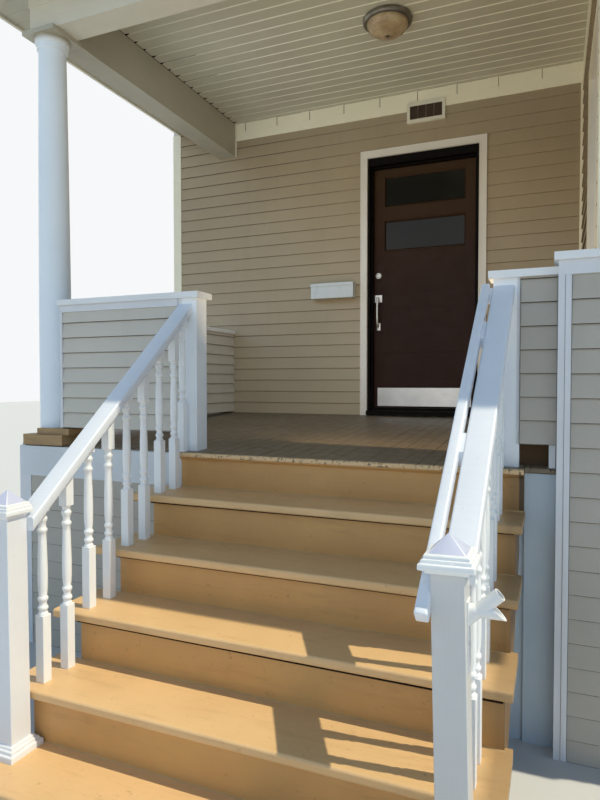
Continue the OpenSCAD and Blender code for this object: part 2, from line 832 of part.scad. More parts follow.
window_far = wall_y - window_y;
window_near = window_far - window_w;
window_bottom = house_z + window_z;
window_top = ceiling_z - window_drop;
window_mid = (window_bottom + window_top) / 2;
sash_x = corner_x + sash_in;
sash_t = 40;
rail_half = 18;

module bay_side_wall() {
  color("#b5aa93") difference() {
    block([corner_x, bay_y, 0], [corner_x + wall_t, wall_y + wall_t, wall_top]);
    block([corner_x - 1, window_near, window_bottom], [corner_x + wall_t + 1, window_far, window_top]);
  }
}

module bay_front_wall() {
  color("#b5aa93") block([corner_x + wall_t, bay_y, 0], [house_w / 2, bay_y + wall_t, wall_top]);
}

// Small covers over the joints in the frieze board
tab_first = 295;
tab_step = 315.5;
tab_w = 74;
tab_h = 75;
plate_x = door_x + 35 - plate_w / 2;
plate_z = ceiling_z - 91 - plate_h;

// Frieze board with its small covers, and the corner boards
module wall_trim() {
  left = -column_x + beam_w / 2;
  y = wall_y - trim_out;
  cx = corner_x;
  c = 24;
  color("#ddd8ca") {
    difference() {
      block([left, y, ceiling_z - frieze_h], [cx - trim_out, wall_y, ceiling_z]);
      block([plate_x, y - 1, plate_z], [plate_x + plate_w, wall_y + 1, plate_z + plate_h]);
    }
    block([cx - trim_out - tab_w, y - 6, ceiling_z - tab_h], [cx - trim_out, y, ceiling_z]);
    for (i = [0 : 8]) {
      x = cx - tab_first - i * tab_step;
      if (x > left + tab_w)
        block([x - tab_w, y - 6, ceiling_z - tab_h], [x, y, ceiling_z]);
    }
    block([cx - c, wall_y - c, house_z], [cx, wall_y, ceiling_z - frieze_h]);
    h = -house_w / 2;
    block([h, y, 0], [h + corner_board_w, wall_y, soffit_z - board_drop]);
    foot = deck_z(bay_y + corner_board_w);
    block([cx - trim_out, bay_y - trim_out, foot], [cx, bay_y + corner_board_w, ceiling_z]);
    block([cx, bay_y - trim_out, foot], [cx + corner_board_w, bay_y, ceiling_z]);
    block([cx - trim_out, bay_y + corner_board_w, ceiling_z - frieze_h], [cx, wall_y, ceiling_z]);
  }
}

// Casing, sill and sash of the side window
module side_window() {
  w = corner_board_w - 20;
  x = corner_x;
  s = sash_w;
  back = sash_x + sash_t;
  color("#e4ddcb") {
    difference() {
      block([x - trim_out, window_near - w, window_bottom - w], [x, window_far + w, window_top + w]);
      block([x - trim_out - 1, window_near, window_bottom], [x + 1, window_far, window_top]);
    }
    difference() {
      block([sash_x, window_near, window_bottom], [back, window_far, window_top]);
      block([sash_x - 1, window_near + s, window_bottom + s], [back + 1, window_far - s, window_top - s]);
    }
    block([sash_x, window_near + s, window_mid - rail_half],
          [back, window_far - s, window_mid + rail_half]);
  }
}

module window_glass() {
  x = sash_x + sash_t / 2 - 2;
  s = sash_w;
  color("#20242a") {
    block([x, window_near + s, window_bottom + s], [x + 4, window_far - s, window_mid - rail_half]);
    block([x, window_near + s, window_mid + rail_half], [x + 4, window_far - s, window_top - s]);
  }
}

// White casing round the doorway
module door_casing() {
  w = open_w / 2;
  y = wall_y - casing_t;
  color("#e6e2d6") difference() {
    block([door_x - w - casing_w, y, house_z], [door_x + w + casing_w, wall_y, open_z + casing_w]);
    block([door_x - w, y - 1, house_z - 1], [door_x + w, wall_y + 1, open_z]);
  }
}

// Jambs, head and threshold, with the stops that the leaf closes against
module door_frame() {
  w = open_w / 2;
  stop_y = leaf_y - 13;
  x0 = door_x - w;
  x1 = door_x + w;
  top = open_z;
  back = leaf_y + leaf_t;
  color("#2c211d") {
    block([x0, wall_y, house_z + threshold_h - 25], [x0 + jamb_t, back, top]);
    block([x1 - jamb_t, wall_y, house_z + threshold_h - 25], [x1, back, top]);
    block([x0 + jamb_t, wall_y, top - head_t], [x1 - jamb_t, back, top]);
    for (s = [0, 1]) {
      x = s < 1 ? x0 + jamb_t : x1 - jamb_t - 14;
      block([x, stop_y - 38, house_z + threshold_h], [x + 14, stop_y, top - head_t]);
    }
    block([x0 + jamb_t + 14, stop_y - 38, top - head_t - 14],
          [x1 - jamb_t - 14, stop_y, top - head_t]);
    block([x0, wall_y, house_z], [x1, wall_y + wall_t, house_z + threshold_h - 25]);
    block([x0 + 5, wall_y - casing_t - 45, house_z + 4], [x1 - 5, wall_y, house_z + threshold_h - 25]);
    block([x0 + jamb_t, stop_y - 38, house_z + threshold_h - 25],
          [x1 - jamb_t, wall_y + wall_t, house_z + threshold_h]);
  }
}

panels_n = 5;
function panel_foot(i) = leaf_z + panel_z + i * panel_step;

// Door leaf with two panes over three sunk panels
module door_leaf() {
  l = door_x - leaf_w / 2;
  w = panel_w / 2;
  color("#38241d") difference() {
    block([l, leaf_y, leaf_z], [l + leaf_w, leaf_y + leaf_t, leaf_z + leaf_h]);
    for (i = [0 : panels_n - 1]) {
      z = panel_foot(i);
      block([door_x - w, leaf_y - 1, z], [door_x + w, leaf_y + panel_in, z + panel_h]);
      block([door_x - w, leaf_y + leaf_t - panel_in, z], [door_x + w, leaf_y + leaf_t + 1, z + panel_h]);
    }
    for (i = [panels_n - 2, panels_n - 1])
      block([door_x - w, leaf_y, panel_foot(i)],
            [door_x + w, leaf_y + leaf_t, panel_foot(i) + panel_h]);
  }
}

// Three hinges: pins and plates on the jamb, and knuckles with plates on the leaf
pin_x = hinge_x + leaf_gap / 2;
pin_y = leaf_y + leaf_t + 8;
hinge_r = 7;
pin_r = 3.5;
hinge_l = 100;
function hinge_z(i) = leaf_z + [180, leaf_h / 2 - hinge_l / 2, leaf_h - 180 - hinge_l][i];

module jamb_hinges() {
  third = hinge_l / 3;
  color("#8d857b") for (i = [0 : 2]) translate([pin_x, pin_y, hinge_z(i)]) {
    cylinder(h = hinge_l, r = pin_r);
    cylinder(h = third - 0.3, r = hinge_r);
    translate([0, 0, 2 * third + 0.3]) cylinder(h = third - 0.3, r = hinge_r);
    for (z = [0, 2 * third + 0.3]) block([0, -8, z], [leaf_gap / 2 + 14, -5, z + third - 0.3]);
  }
}

module leaf_hinges() {
  third = hinge_l / 3;
  color("#8d857b") for (i = [0 : 2]) translate([pin_x, pin_y, hinge_z(i) + third]) difference() {
    union() {
      cylinder(h = third, r = hinge_r);
      block([-40, -8, 0], [0, -5, third]);
    }
    translate([0, 0, -1]) cylinder(h = third + 2, r = pin_r + 0.3);
  }
}

module door_glass() {
  y = leaf_y + leaf_t / 2 - 3;
  w = panel_w / 2;
  color("#3a3d3a") for (i = [panels_n - 2, panels_n - 1])
    block([door_x - w, y, panel_foot(i)], [door_x + w, y + 6, panel_foot(i) + panel_h]);
}

module kick_plate() {
  w = leaf_w / 2 - 39;
  z = leaf_z + 8;
  color("#b9b6b0") block([door_x - w, leaf_y - 2, z], [door_x + w, leaf_y, z + kick_h]);
}

// Dead bolt, grip handle with its square plate, and the inside knob and turn
handle_z = 930;
module door_handle() {
  x = door_x - leaf_w / 2 + 46;
  z = leaf_z + handle_z;
  y = leaf_y;
  color("#a9a6a0") {
    translate([x, y, z + 196]) rotate([90, 0, 0]) cylinder(h = 24, d = 52);
    block([x - 32, y - 8, z - 32], [x + 32, y, z + 32]);
    translate([x, y - 8, z]) rotate([90, 0, 0]) cylinder(h = 34, d = 20);
    translate([x, y - 42, z - 250]) cylinder(h = 262, d = 18);
    translate([x, y, z - 240]) rotate([90, 0, 0]) cylinder(h = 42, d = 16);
    block([x - 16, y - 4, z - 240 - 32], [x + 16, y, z - 240 + 32]);
    back = leaf_y + leaf_t;
    translate([x, back, z]) rotate([-90, 0, 0]) cylinder(h = 8, d = 60);
    translate([x, back + 8, z]) rotate([-90, 0, 0]) cylinder(h = 16, d = 24);
    translate([x, back + 24, z]) rotate([-90, 0, 0]) cylinder(h = 18, d = 52);
    translate([x, back, z + 196]) rotate([-90, 0, 0]) cylinder(h = 12, d = 46);
  }
}

box_x = -1077;
box_top = house_z + box_z;
lid_pin_y = wall_y - 13;
module letter_box() {
  x = box_x - box_w / 2;
  y = wall_y - box_d;
  z = box_top - box_h;
  t = box_t;
  color("#d8d8d4") difference() {
    block([x, y, z], [x + box_w, wall_y, box_top - t - 1.5]);
    block([x + t, y + t, z + t], [x + box_w - t, wall_y - t, box_top]);
  }
}

// Lid that tips up about its rear edge
module letter_box_lid() {
  x = box_x - box_w / 2;
  y = wall_y - box_d;
  t = box_t;
  color("#dededa") {
    block([x - 2, y - 5, box_top - t], [x + box_w + 2, lid_pin_y, box_top]);
    block([x - 2, y - 5, box_top - 26], [x + box_w + 2, y - 1, box_top - t]);
    translate([x - 2, lid_pin_y, box_top - t / 2]) rotate([0, 90, 0]) cylinder(h = box_w + 4, r = t * 0.8);
  }
}

// Framed plate with four plain tiles
module number_plate() {
  x = plate_x;
  y = wall_y - 26;
  z = plate_z;
  color("#d9d3c2") difference() {
    block([x, y, z], [x + plate_w, wall_y, z + plate_h]);
    block([x + 24, y - 1, z + 28], [x + plate_w - 24, y + 8, z + plate_h - 28]);
  }
}

light_x = -340;
light_y = wall_y - light_out;
module ceiling_light() {
  r = light_d / 2;
  color("#8d857b") translate([light_x, light_y, ceiling_z]) {
    rotate_extrude($fn = 64) polygon([[0, 0], [r * 0.9, 0], [r, -14], [r, -26], [r * 0.95, -34],
      [r * 0.86, -38], [r * 0.86, -30], [0, -30]]);
    translate([0, 0, -118]) cylinder(h = 90, d = 10);
    translate([0, 0, -124]) sphere(d = 20);
  }
}

module light_bowl() {
  r = light_d / 2 * 0.85;
  color("#e4dcc8") translate([light_x, light_y, ceiling_z - 31]) difference() {
    rotate_extrude($fn = 64) polygon([[0, 0], [r, 0], [r * 0.97, -20], [r * 0.87, -44], [r * 0.68, -64],
      [r * 0.42, -78], [r * 0.15, -84], [0, -85]]);
    rotate_extrude($fn = 64) polygon([[0, 1], [r - 5, 1], [r * 0.93, -18], [r * 0.83, -41], [r * 0.65, -60],
      [r * 0.4, -73], [r * 0.15, -79], [0, -80]]);
    translate([0, 0, -100]) cylinder(h = 120, d = 11);
  }
}

// Two-way holder for flag poles on the leaning right newel
module flag_bracket() {
  w = 24;
  x = newel_w / 2;
  low = newel_h - 276;
  r = 18;
  wall = 4;
  steep_l = 119;
  hub = low + 130;
  flat_z = low + 159;
  color("#eef0f1") translate([right_newel_x, newel_y, tread_z(treads_n) + 3]) rotate([0, -newel_lean, 0])
    difference() {
      union() {
        block([x, -w, low], [x + 5, w, low + 186]);
        translate([x - 7, 0, hub]) rotate([0, 49, 0]) cylinder(h = steep_l, r = r);
        flat_tube(x, flat_z, r, wall);
      }
      translate([x - 7, 0, hub]) rotate([0, 49, 0]) translate([0, 0, steep_l - 42])
        cylinder(h = steep_l, r = r - wall);
      block([x - newel_w, -newel_w, low - 60], [x, newel_w, low + 240]);
    }
}

// Level tube of the flag bracket, its open end cut off at a slant
module flat_tube(x, z, r, wall) {
  difference() {
    translate([x + 4, 0, z]) rotate([0, 90, 0]) cylinder(h = 96, r = r);
    translate([x + 44, 0, z]) rotate([0, 90, 0]) cylinder(h = 96, r = r - wall);
    translate([x + 80, 0, z]) rotate([0, 45, 0]) block([-60, -30, 0], [60, 30, 80]);
  }
}

deck();
deck_frame();
skirt_boards();
left_skirt_wall();
right_skirt_wall();
right_skirt_board();
cove();
treads();
risers();
stringers();
newels();
handrails();
inner_rail();
left_balusters();
right_balusters();
low_wall_posts();
left_low_wall();
left_side_wall();
short_low_wall();
right_front_wall();
right_side_wall();
left_cap();
right_cap();
side_caps();
low_wall_trim();
plinths();
columns();
front_beam();
side_beams();
ceiling();
soffit();
eave_boards();
roof();
house_base();
house_wall_left();
house_wall_right();
house_wall_top();
bay_side_wall();
bay_front_wall();
wall_trim();
side_window();
window_glass();
door_casing();
door_frame();
jamb_hinges();
leaf_hinges();
door_leaf();
door_glass();
kick_plate();
door_handle();
letter_box();
letter_box_lid();
number_plate();
ceiling_light();
light_bowl();
flag_bracket();
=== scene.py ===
import math
import random

import bmesh
import bpy
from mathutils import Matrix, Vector


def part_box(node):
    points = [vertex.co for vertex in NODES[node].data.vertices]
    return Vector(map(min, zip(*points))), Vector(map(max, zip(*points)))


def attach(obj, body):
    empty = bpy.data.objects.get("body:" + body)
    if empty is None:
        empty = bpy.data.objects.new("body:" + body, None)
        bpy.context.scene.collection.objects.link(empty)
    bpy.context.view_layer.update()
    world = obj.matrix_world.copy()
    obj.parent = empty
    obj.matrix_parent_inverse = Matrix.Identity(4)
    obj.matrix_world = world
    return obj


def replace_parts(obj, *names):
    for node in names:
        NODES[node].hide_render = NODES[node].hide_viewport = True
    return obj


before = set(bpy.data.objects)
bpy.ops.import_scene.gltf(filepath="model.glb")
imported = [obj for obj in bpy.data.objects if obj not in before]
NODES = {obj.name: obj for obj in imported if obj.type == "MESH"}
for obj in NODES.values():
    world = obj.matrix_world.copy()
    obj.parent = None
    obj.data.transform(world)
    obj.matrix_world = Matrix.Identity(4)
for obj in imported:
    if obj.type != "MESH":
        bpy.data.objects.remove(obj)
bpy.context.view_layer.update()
X, Y, Z = 0, 1, 2

# Shared sizes and places of the CAD model, in metres
(HOUSE_LEFT, WALL_Y, HOUSE_Z), (_, _, WALL_TOP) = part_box("house_wall_left")
CORNER_X, BAY_Y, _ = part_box("bay_side_wall")[0]
HOUSE_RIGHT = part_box("bay_front_wall")[1][0]
(CEILING_LEFT, CEILING_FRONT, CEILING_Z), (CEILING_RIGHT, _, _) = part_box("ceiling")
BEAM_LEFT, _, BEAM_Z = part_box("side_beams")[0]
CASE_LOW, CASE_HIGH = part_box("door_casing")
STUB_LOW, STUB_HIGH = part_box("short_low_wall")
TALL_LOW, TALL_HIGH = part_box("right_front_wall")
CORNER_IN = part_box("right_skirt_wall")[0][0]
FRONT_Z, DECK_DEPTH, DECK_FALL = 1.198, 2.33, 0.091
DECK_SIDE, DECK_EDGE, DECK_NOSE = 2.265, -0.577, -0.627
RISE, GOING, NOSE_1, TREAD_T = 0.203, 0.255, -0.873, 0.036
RAIL_LOW, RAIL_HIGH = (-1.646, 1.065), (-0.554, 1.988)
SLOPE = (RAIL_HIGH[1] - RAIL_LOW[1]) / (RAIL_HIGH[0] - RAIL_LOW[0])
COS = 1 / math.sqrt(1 + SLOPE * SLOPE)
SIN = SLOPE * COS
LEFT_RAIL, RIGHT_RAIL, RIGHT_FOOT, RIGHT_SKEW = -1.135, 0.472, 0.451, 0.032
CORNER_W, IN_CORNER_W, SKIRT_CORNER, SKIRT_BOARD, FRIEZE = 0.084, 0.024, 0.076, 0.184, 0.151
FRIEZE_Z = CEILING_Z - FRIEZE


def rail_z(y):
    """Height of the handrails' top at a distance y."""
    return RAIL_LOW[1] + (y - RAIL_LOW[0]) * SLOPE


def right_x(y):
    """Middle of the right handrail, which runs askew."""
    return RIGHT_FOOT + (y - RAIL_LOW[0]) * RIGHT_SKEW / (RAIL_HIGH[0] - RAIL_LOW[0])


def deck_z(y):
    """Height of the deck's top at a distance y."""
    return HOUSE_Z - DECK_FALL * (WALL_Y - y) / DECK_DEPTH


# ---- materials
EVEN, ALONG, UPRIGHT = (1, 1, 1), (0.25, 3, 3), (3, 3, 0.2)
GRIME, PALE_GRIME, BLACK_SHADE_AND_GRIME = (0.3, 0.27, 0.22), (0.45, 0.43, 0.4), (0.03, 0.02, 0.012)


def scaled(color, factor):
    return tuple(c * factor for c in color)


def mm(*points):
    """Points or rows of sizes that are written in millimetres."""
    return [tuple(v / 1000 for v in point) for point in points]


def add_node(tree, kind, inputs, **settings):
    """New shader node. Each of its inputs gets a number, a colour or a link from another node's socket."""
    node = tree.nodes.new(kind)
    for key, value in settings.items():
        setattr(node, key, value)
    for key, value in inputs.items():
        if isinstance(value, bpy.types.NodeSocket):
            tree.links.new(value, node.inputs[key])
        elif node.inputs[key].type == "RGBA":
            node.inputs[key].default_value = (*value, 1)
        else:
            node.inputs[key].default_value = value
    return node


class Shader:
    """A Principled material under construction, with short calls for its nodes."""

    def __init__(self, name, color, rough=0.5, metallic=0.0, specular=0.5):
        self.material = bpy.data.materials.new(name)
        self.material.use_nodes = True
        self.tree = self.material.node_tree
        self.bsdf = self.tree.nodes["Principled BSDF"]
        for key, value in (("Base Color", (*color, 1)), ("Roughness", rough), ("Metallic", metallic),
                ("Specular IOR Level", specular)):
            self.bsdf.inputs[key].default_value = value
        self.object_coords = self.node("ShaderNodeTexCoord", {}).outputs["Object"]

    def node(self, kind, inputs, **settings):
        return add_node(self.tree, kind, inputs, **settings)

    def noise(self, scale, detail=3.0, rough=0.55, stretch=EVEN):
        """Noise in object space, drawn out along the axes with a small factor."""
        place = self.node("ShaderNodeMapping", {"Vector": self.object_coords, "Scale": stretch})
        return self.node("ShaderNodeTexNoise", {"Vector": place.outputs["Vector"], "Scale": scale,
            "Detail": detail, "Roughness": rough}).outputs["Fac"]

    def ramp(self, fac, low, high, a=0.0, b=1.0):
        """Maps low..high of fac to a..b."""
        return self.node("ShaderNodeMapRange", {"Value": fac, "From Min": low, "From Max": high,
            "To Min": a, "To Max": b}).outputs["Result"]

    def multiply(self, a, b):
        return self.node("ShaderNodeMath", {0: a, 1: b}, operation="MULTIPLY").outputs[0]

    def mix(self, fac, a, b):
        """Mixes two colours (tuples or sockets) by fac."""
        return self.node("ShaderNodeMix", {0: fac, 6: a, 7: b}, data_type="RGBA").outputs[2]

    def axis(self, axis):
        """Object coordinate along one axis."""
        return self.node("ShaderNodeSeparateXYZ", {0: self.object_coords}).outputs[axis]

    def mottled(self, color, shade, scale=2.2):
        """Two tones in broad soft patches."""
        return self.mix(self.ramp(self.noise(scale, 4, 0.6), 0.35, 0.65), color, shade)

    def specked(self, base, amount, grime):
        """Fine specks of dirt over a base colour."""
        return self.mix(self.ramp(self.noise(38, 5, 0.65), 0.63, 0.74, 0.0, amount), base, grime)

    def brushed(self, stretch, distance=0.0007):
        """Fine brush marks, a layer for bump."""
        return self.noise(60, 4, 0.6, stretch), distance

    def color(self, socket):
        self.tree.links.new(socket, self.bsdf.inputs["Base Color"])

    def rough(self, low, high, scale=14):
        """Roughness that wanders between two values."""
        fac = self.ramp(self.noise(scale, 3), 0.3, 0.7, low, high)
        self.tree.links.new(fac, self.bsdf.inputs["Roughness"])

    def bump(self, *layers):
        """Each layer is (height socket, distance in metres)."""
        normal = {}
        for height, distance in layers:
            node = self.node("ShaderNodeBump", {"Strength": 1.0, "Distance": distance, "Height": height, **normal})
            normal = {"Normal": node.outputs["Normal"]}
        self.tree.links.new(normal["Normal"], self.bsdf.inputs["Normal"])


def painted(name, color, shade, rough=0.42, stretch=EVEN, dirt=0.25, grime=GRIME, specular=0.5):
    """Painted boards: brush marks along them, a faint mottling and specks of dirt. A shade may be a step down."""
    if isinstance(shade, float):
        shade = tuple(c - shade for c in color)
    s = Shader(name, color, rough, specular=specular)
    s.color(s.specked(s.mottled(color, shade), dirt, grime))
    s.rough(rough - 0.07, rough + 0.1)
    s.bump(s.brushed(stretch), (s.noise(9, 2, 0.5, stretch), 0.0012))
    return s.material


def column_paint():
    """Column paint, tinted blue for painted sky light, and darker on the square slab close under the beams as painted
    shade.
    """
    s = Shader("column_paint", (0.84, 0.91, 0.97), 0.45)
    base = s.mottled((0.84, 0.91, 0.97), (0.8, 0.87, 0.94))
    s.color(s.mix(s.ramp(s.axis(Z), 3.585, 3.612), base, (0.44, 0.42, 0.34)))
    s.rough(0.38, 0.55)
    s.bump(s.brushed((3, 3, 0.15)))
    return s.material


def step_paint(name, color, shade, grime, end=0.0):
    """Floor paint on treads and risers: brush marks, scuffs, and painted shade at the right end beside the balusters,
    nearly black on the risers' right ends.
    """
    s = Shader(name, color, 0.4)
    base = s.specked(s.mottled(color, shade), 0.42, grime)
    base = s.mix(s.ramp(s.noise(9, 4, 0.7, (0.3, 2, 2)), 0.55, 0.75, 0.0, 0.22), base, grime)
    # Painted shade towards the steps' right end, where the balusters and the near wall shade them.
    base = s.mix(s.ramp(s.axis(X), 0.475, 0.535, 0.0, 0.62), base, grime)
    # The risers' right ends get a nearly black painted shade.
    s.color(s.mix(s.ramp(s.axis(X), 0.5525, 0.5575, 0.0, end), base, BLACK_SHADE_AND_GRIME))
    s.rough(0.34, 0.52)
    s.bump(s.brushed((0.12, 4, 4)), (s.noise(9, 2, 0.5, (0.12, 4, 4)), 0.0012))
    return s.material


def newel_paint():
    """White paint of the newels, with painted shade that makes the right one darker and greyer."""
    s = Shader("newel_paint", (0.8, 0.81, 0.83), 0.36)
    left = s.mottled((0.77, 0.785, 0.82), (0.73, 0.745, 0.78))
    right = s.mottled((0.62, 0.622, 0.62), (0.575, 0.578, 0.576))
    s.color(s.specked(s.mix(s.ramp(s.axis(X), -0.5, 0.2), left, right), 0.12, (0.4, 0.39, 0.36)))
    s.rough(0.3, 0.46)
    s.bump(s.brushed(UPRIGHT))
    return s.material


def ceiling_edge():
    """Bevels of the ceiling boards: bright where light from the lawn reaches them, dull near the left beam."""
    s = Shader("ceiling_bevels", (0.72, 0.7, 0.58), 0.4)
    s.color(s.mix(s.ramp(s.axis(X), -1.95, -1.15), (0.56, 0.54, 0.44), (0.78, 0.755, 0.62)))
    s.rough(0.34, 0.5)
    return s.material


def door_paint():
    """Dark red brown, lighter and warmer towards the top of the door."""
    s = Shader("door_paint", (0.031, 0.014, 0.0095), 0.55, specular=0.2)
    base = s.mottled((0.031, 0.014, 0.0095), (0.025, 0.0115, 0.008))
    s.color(s.mix(s.ramp(s.axis(Z), 2.35, 3.35), base, (0.056, 0.03, 0.014)))
    s.rough(0.48, 0.65)
    s.bump(s.brushed((0.2, 3, 3)))
    return s.material


def siding(name, color, shade):
    """Vinyl clapboards: faint wood grain along them, chalky patches and streaks of rain dust."""
    s = Shader(name, color, 0.5)
    streaks = s.ramp(s.noise(5, 4, 0.7, (1, 1, 0.12)), 0.52, 0.75, 0, 0.35)
    s.color(s.mix(streaks, s.mottled(color, shade, 1.1), scaled(shade, 0.86)))
    s.rough(0.42, 0.6, 20)
    s.bump((s.noise(30, 4, 0.6, (0.6, 0.6, 7)), 0.0006))
    return s.material


def under_lap():
    """Undersides of the house's clapboards, with painted light and shade: dark shade low down and at the open end,
    light from below painted in elsewhere.
    """
    s = Shader("under_laps", (0.2, 0.17, 0.13), 0.8)
    high, inward = s.ramp(s.axis(Z), 2.35, 3.05), s.ramp(s.axis(X), -1.75, -0.85)
    base = s.mix(s.multiply(high, inward), (0.12, 0.1, 0.075), (0.36, 0.3, 0.21))
    s.color(s.mix(s.ramp(s.noise(30, 3), 0.4, 0.7, 0, 0.4), base, (0.1, 0.085, 0.065)))
    return s.material


def deck_paint():
    """Floor paint, pale along the deck's front edge as painted light with some wear, and chipped there."""
    s = Shader("deck_paint", (0.26, 0.21, 0.145), 0.45)
    streaks = s.ramp(s.noise(24, 4, 0.65, (3, 0.12, 1)), 0.5, 0.72, 0, 0.55)
    base = s.mix(streaks, s.mottled((0.208, 0.163, 0.11), (0.176, 0.139, 0.095)), (0.125, 0.097, 0.064))
    # Pale band along the nose: painted light, partly wear.
    base = s.mix(s.multiply(s.ramp(s.axis(Y), -0.596, -0.622), 0.92), base, (0.8, 0.55, 0.3))
    chip = s.multiply(s.ramp(s.noise(55, 3, 0.7), 0.575, 0.62), s.ramp(s.axis(Y), -0.61, -0.62))
    s.color(s.mix(chip, base, (0.16, 0.115, 0.07)))
    s.rough(0.38, 0.56)
    s.bump(s.brushed((4, 0.15, 4), 0.0006))
    return s.material


def steel():
    s = Shader("brushed_steel", (0.8, 0.8, 0.79), 0.32, 0.75)
    lines = s.noise(90, 3, 0.6, (0.05, 1, 6))
    s.tree.links.new(s.ramp(lines, 0.3, 0.7, 0.26, 0.44), s.bsdf.inputs["Roughness"])
    s.color(s.mix(s.ramp(s.noise(7, 4), 0.35, 0.7), (0.93, 0.92, 0.9), (0.82, 0.81, 0.79)))
    s.bump((lines, 0.0002))
    return s.material


def bronze():
    s = Shader("brushed_nickel_bronze", (0.3, 0.27, 0.23), 0.35, 0.9)
    s.color(s.mix(s.ramp(s.noise(16, 4), 0.4, 0.65), (0.33, 0.3, 0.26), (0.24, 0.21, 0.18)))
    s.rough(0.3, 0.45, 60)
    return s.material


def alabaster():
    """Swirled glass that lets a little light in."""
    s = Shader("alabaster_glass", (0.62, 0.56, 0.46), 0.22)
    swirl = s.ramp(s.noise(9, 5, 0.65, (1, 1, 1.6)), 0.35, 0.65)
    s.color(s.mix(swirl, (0.52, 0.41, 0.26), (0.3, 0.21, 0.12)))
    s.bsdf.inputs["Subsurface Weight"].default_value = 0.2
    s.bsdf.inputs["Subsurface Radius"].default_value = (0.02, 0.015, 0.01)
    return s.material


def dark_glass():
    """Window glass before a dark room, slightly wavy."""
    s = Shader("dark_window_glass", (0.012, 0.013, 0.012), 0.06, specular=0.28)
    s.color(s.mix(s.ramp(s.noise(1.5, 2), 0.3, 0.7), (0.01, 0.011, 0.01), (0.022, 0.023, 0.021)))
    s.rough(0.03, 0.1, 5)
    s.bump((s.noise(1.8, 2), 0.004))
    return s.material


def shingle(name, color):
    """Asphalt shingle: mineral grains and broad faded patches."""
    s = Shader(name, color, 0.9)
    speck = s.noise(420, 2, 0.7)
    base = s.mix(s.ramp(speck, 0.42, 0.62), color, scaled(color, 0.55))
    s.color(s.mix(s.ramp(s.noise(3, 3), 0.45, 0.7, 0, 0.4), base, scaled(color, 1.35)))
    s.bump((speck, 0.0012))
    return s.material


def plinth_wood():
    s = Shader("plinth_paint", (0.4, 0.26, 0.12), 0.55)
    grain = s.noise(14, 5, 0.7, (0.35, 0.35, 5))
    s.color(s.mix(s.ramp(grain, 0.4, 0.7), (0.4, 0.26, 0.12), (0.27, 0.17, 0.085)))
    s.bump((grain, 0.002))
    return s.material


# Copies of one white paint that differ by painted light and shade: brighter on the balusters and posts, bluer on the
# posts and rails for sky light, darker and bluer on the cap tops, trims and fascia boards as painted shade.
WHITE = painted("white_paint", (0.82, 0.84, 0.86), 0.06, 0.38, ALONG, 0.1, PALE_GRIME)
WHITE_UP = painted("white_paint_upright", (0.87, 0.89, 0.91), 0.05, 0.38, UPRIGHT, 0.12, PALE_GRIME)
POST = painted("post_paint", (0.9, 0.94, 0.98), 0.05, 0.38, UPRIGHT, 0.1, PALE_GRIME)
SHADED_CAP_TOP = painted("cap_top_shaded_paint", (0.56, 0.59, 0.76), 0.05, 0.42, (2, 2, 2), 0.2, (0.33, 0.32, 0.33))
RAIL = painted("rail_paint", (0.77, 0.81, 0.885), 0.045, 0.34, ALONG, 0.1, (0.45, 0.44, 0.43))
TRIM = painted("trim_paint", (0.7, 0.72, 0.76), 0.05, 0.4, UPRIGHT, 0.12, (0.42, 0.41, 0.38))
FASCIA = painted("fascia_paint", (0.66, 0.7, 0.74), 0.06, 0.42, ALONG, 0.25, (0.36, 0.35, 0.33))
CREAM = painted("cream_paint", (0.78, 0.75, 0.63), (0.72, 0.69, 0.575), 0.5, (0.3, 2, 2), 0.1)
FRIEZE_PAINT = painted("frieze_paint", (0.93, 0.89, 0.71), 0.05, 0.5, (0.3, 2, 2), 0.08)
BEAM = painted("beam_paint", (0.68, 0.655, 0.56), 0.05, 0.5, (0.4, 0.4, 2), 0.1)
# The side beams' darker copy of the beam paint is painted shade under the porch roof.
SHADED_BEAM = painted("inner_beam_shaded_paint", (0.415, 0.385, 0.3), (0.38, 0.352, 0.275), 0.5, (0.4, 0.4, 2), 0.1)
CEILING = painted("ceiling_vinyl", (0.53, 0.51, 0.4), (0.485, 0.465, 0.365), 0.5, (0.2, 4, 4), 0.06)
CASING = painted("casing_paint", (0.755, 0.725, 0.655), (0.7, 0.67, 0.605), 0.42, (3, 3, 0.3), 0.12)
# The skirt board right of the steps is white, painted blue-grey as shade.
SHADED_WHITE = painted("smooth_board_shaded_paint", (0.5, 0.59, 0.67), 0.06, 0.4, (2, 2, 0.3), 0.18)
FRAMING = painted("bare_framing", (0.45, 0.32, 0.2), (0.36, 0.25, 0.15), 0.75, (1, 0.15, 4), 0.5)
PLASTER = painted("inner_plaster", (0.72, 0.7, 0.66), 0.04, 0.85, EVEN, 0.05)
DARK_FRAME = painted("dark_frame_paint", (0.005, 0.0035, 0.003), (0.004, 0.003, 0.0025), 0.55, (3, 3, 0.3), 0.1,
    (0.015, 0.012, 0.01), 0.12)
BOX_METAL = painted("letter_box_enamel", (0.61, 0.645, 0.655), (0.56, 0.59, 0.6), 0.3, EVEN, 0.2)
WHITE_METAL = painted("white_enamel", (0.8, 0.81, 0.82), (0.75, 0.76, 0.78), 0.3, EVEN, 0.15)
BROWN_GAP = painted("brown_gap", (0.11, 0.07, 0.036), (0.085, 0.055, 0.03), 0.85, EVEN, 0.2, BLACK_SHADE_AND_GRIME, 0.2)
TRIM_SHADE = painted("trim_shade", (0.17, 0.165, 0.155), (0.13, 0.125, 0.12), 0.8, EVEN, 0.2, (0.08, 0.075, 0.07), 0.2)
DARK_GAP = painted("dark_gap", (0.012, 0.009, 0.007), (0.02, 0.015, 0.011), 0.9, EVEN, 0.1, (0.03, 0.025, 0.02), 0.1)
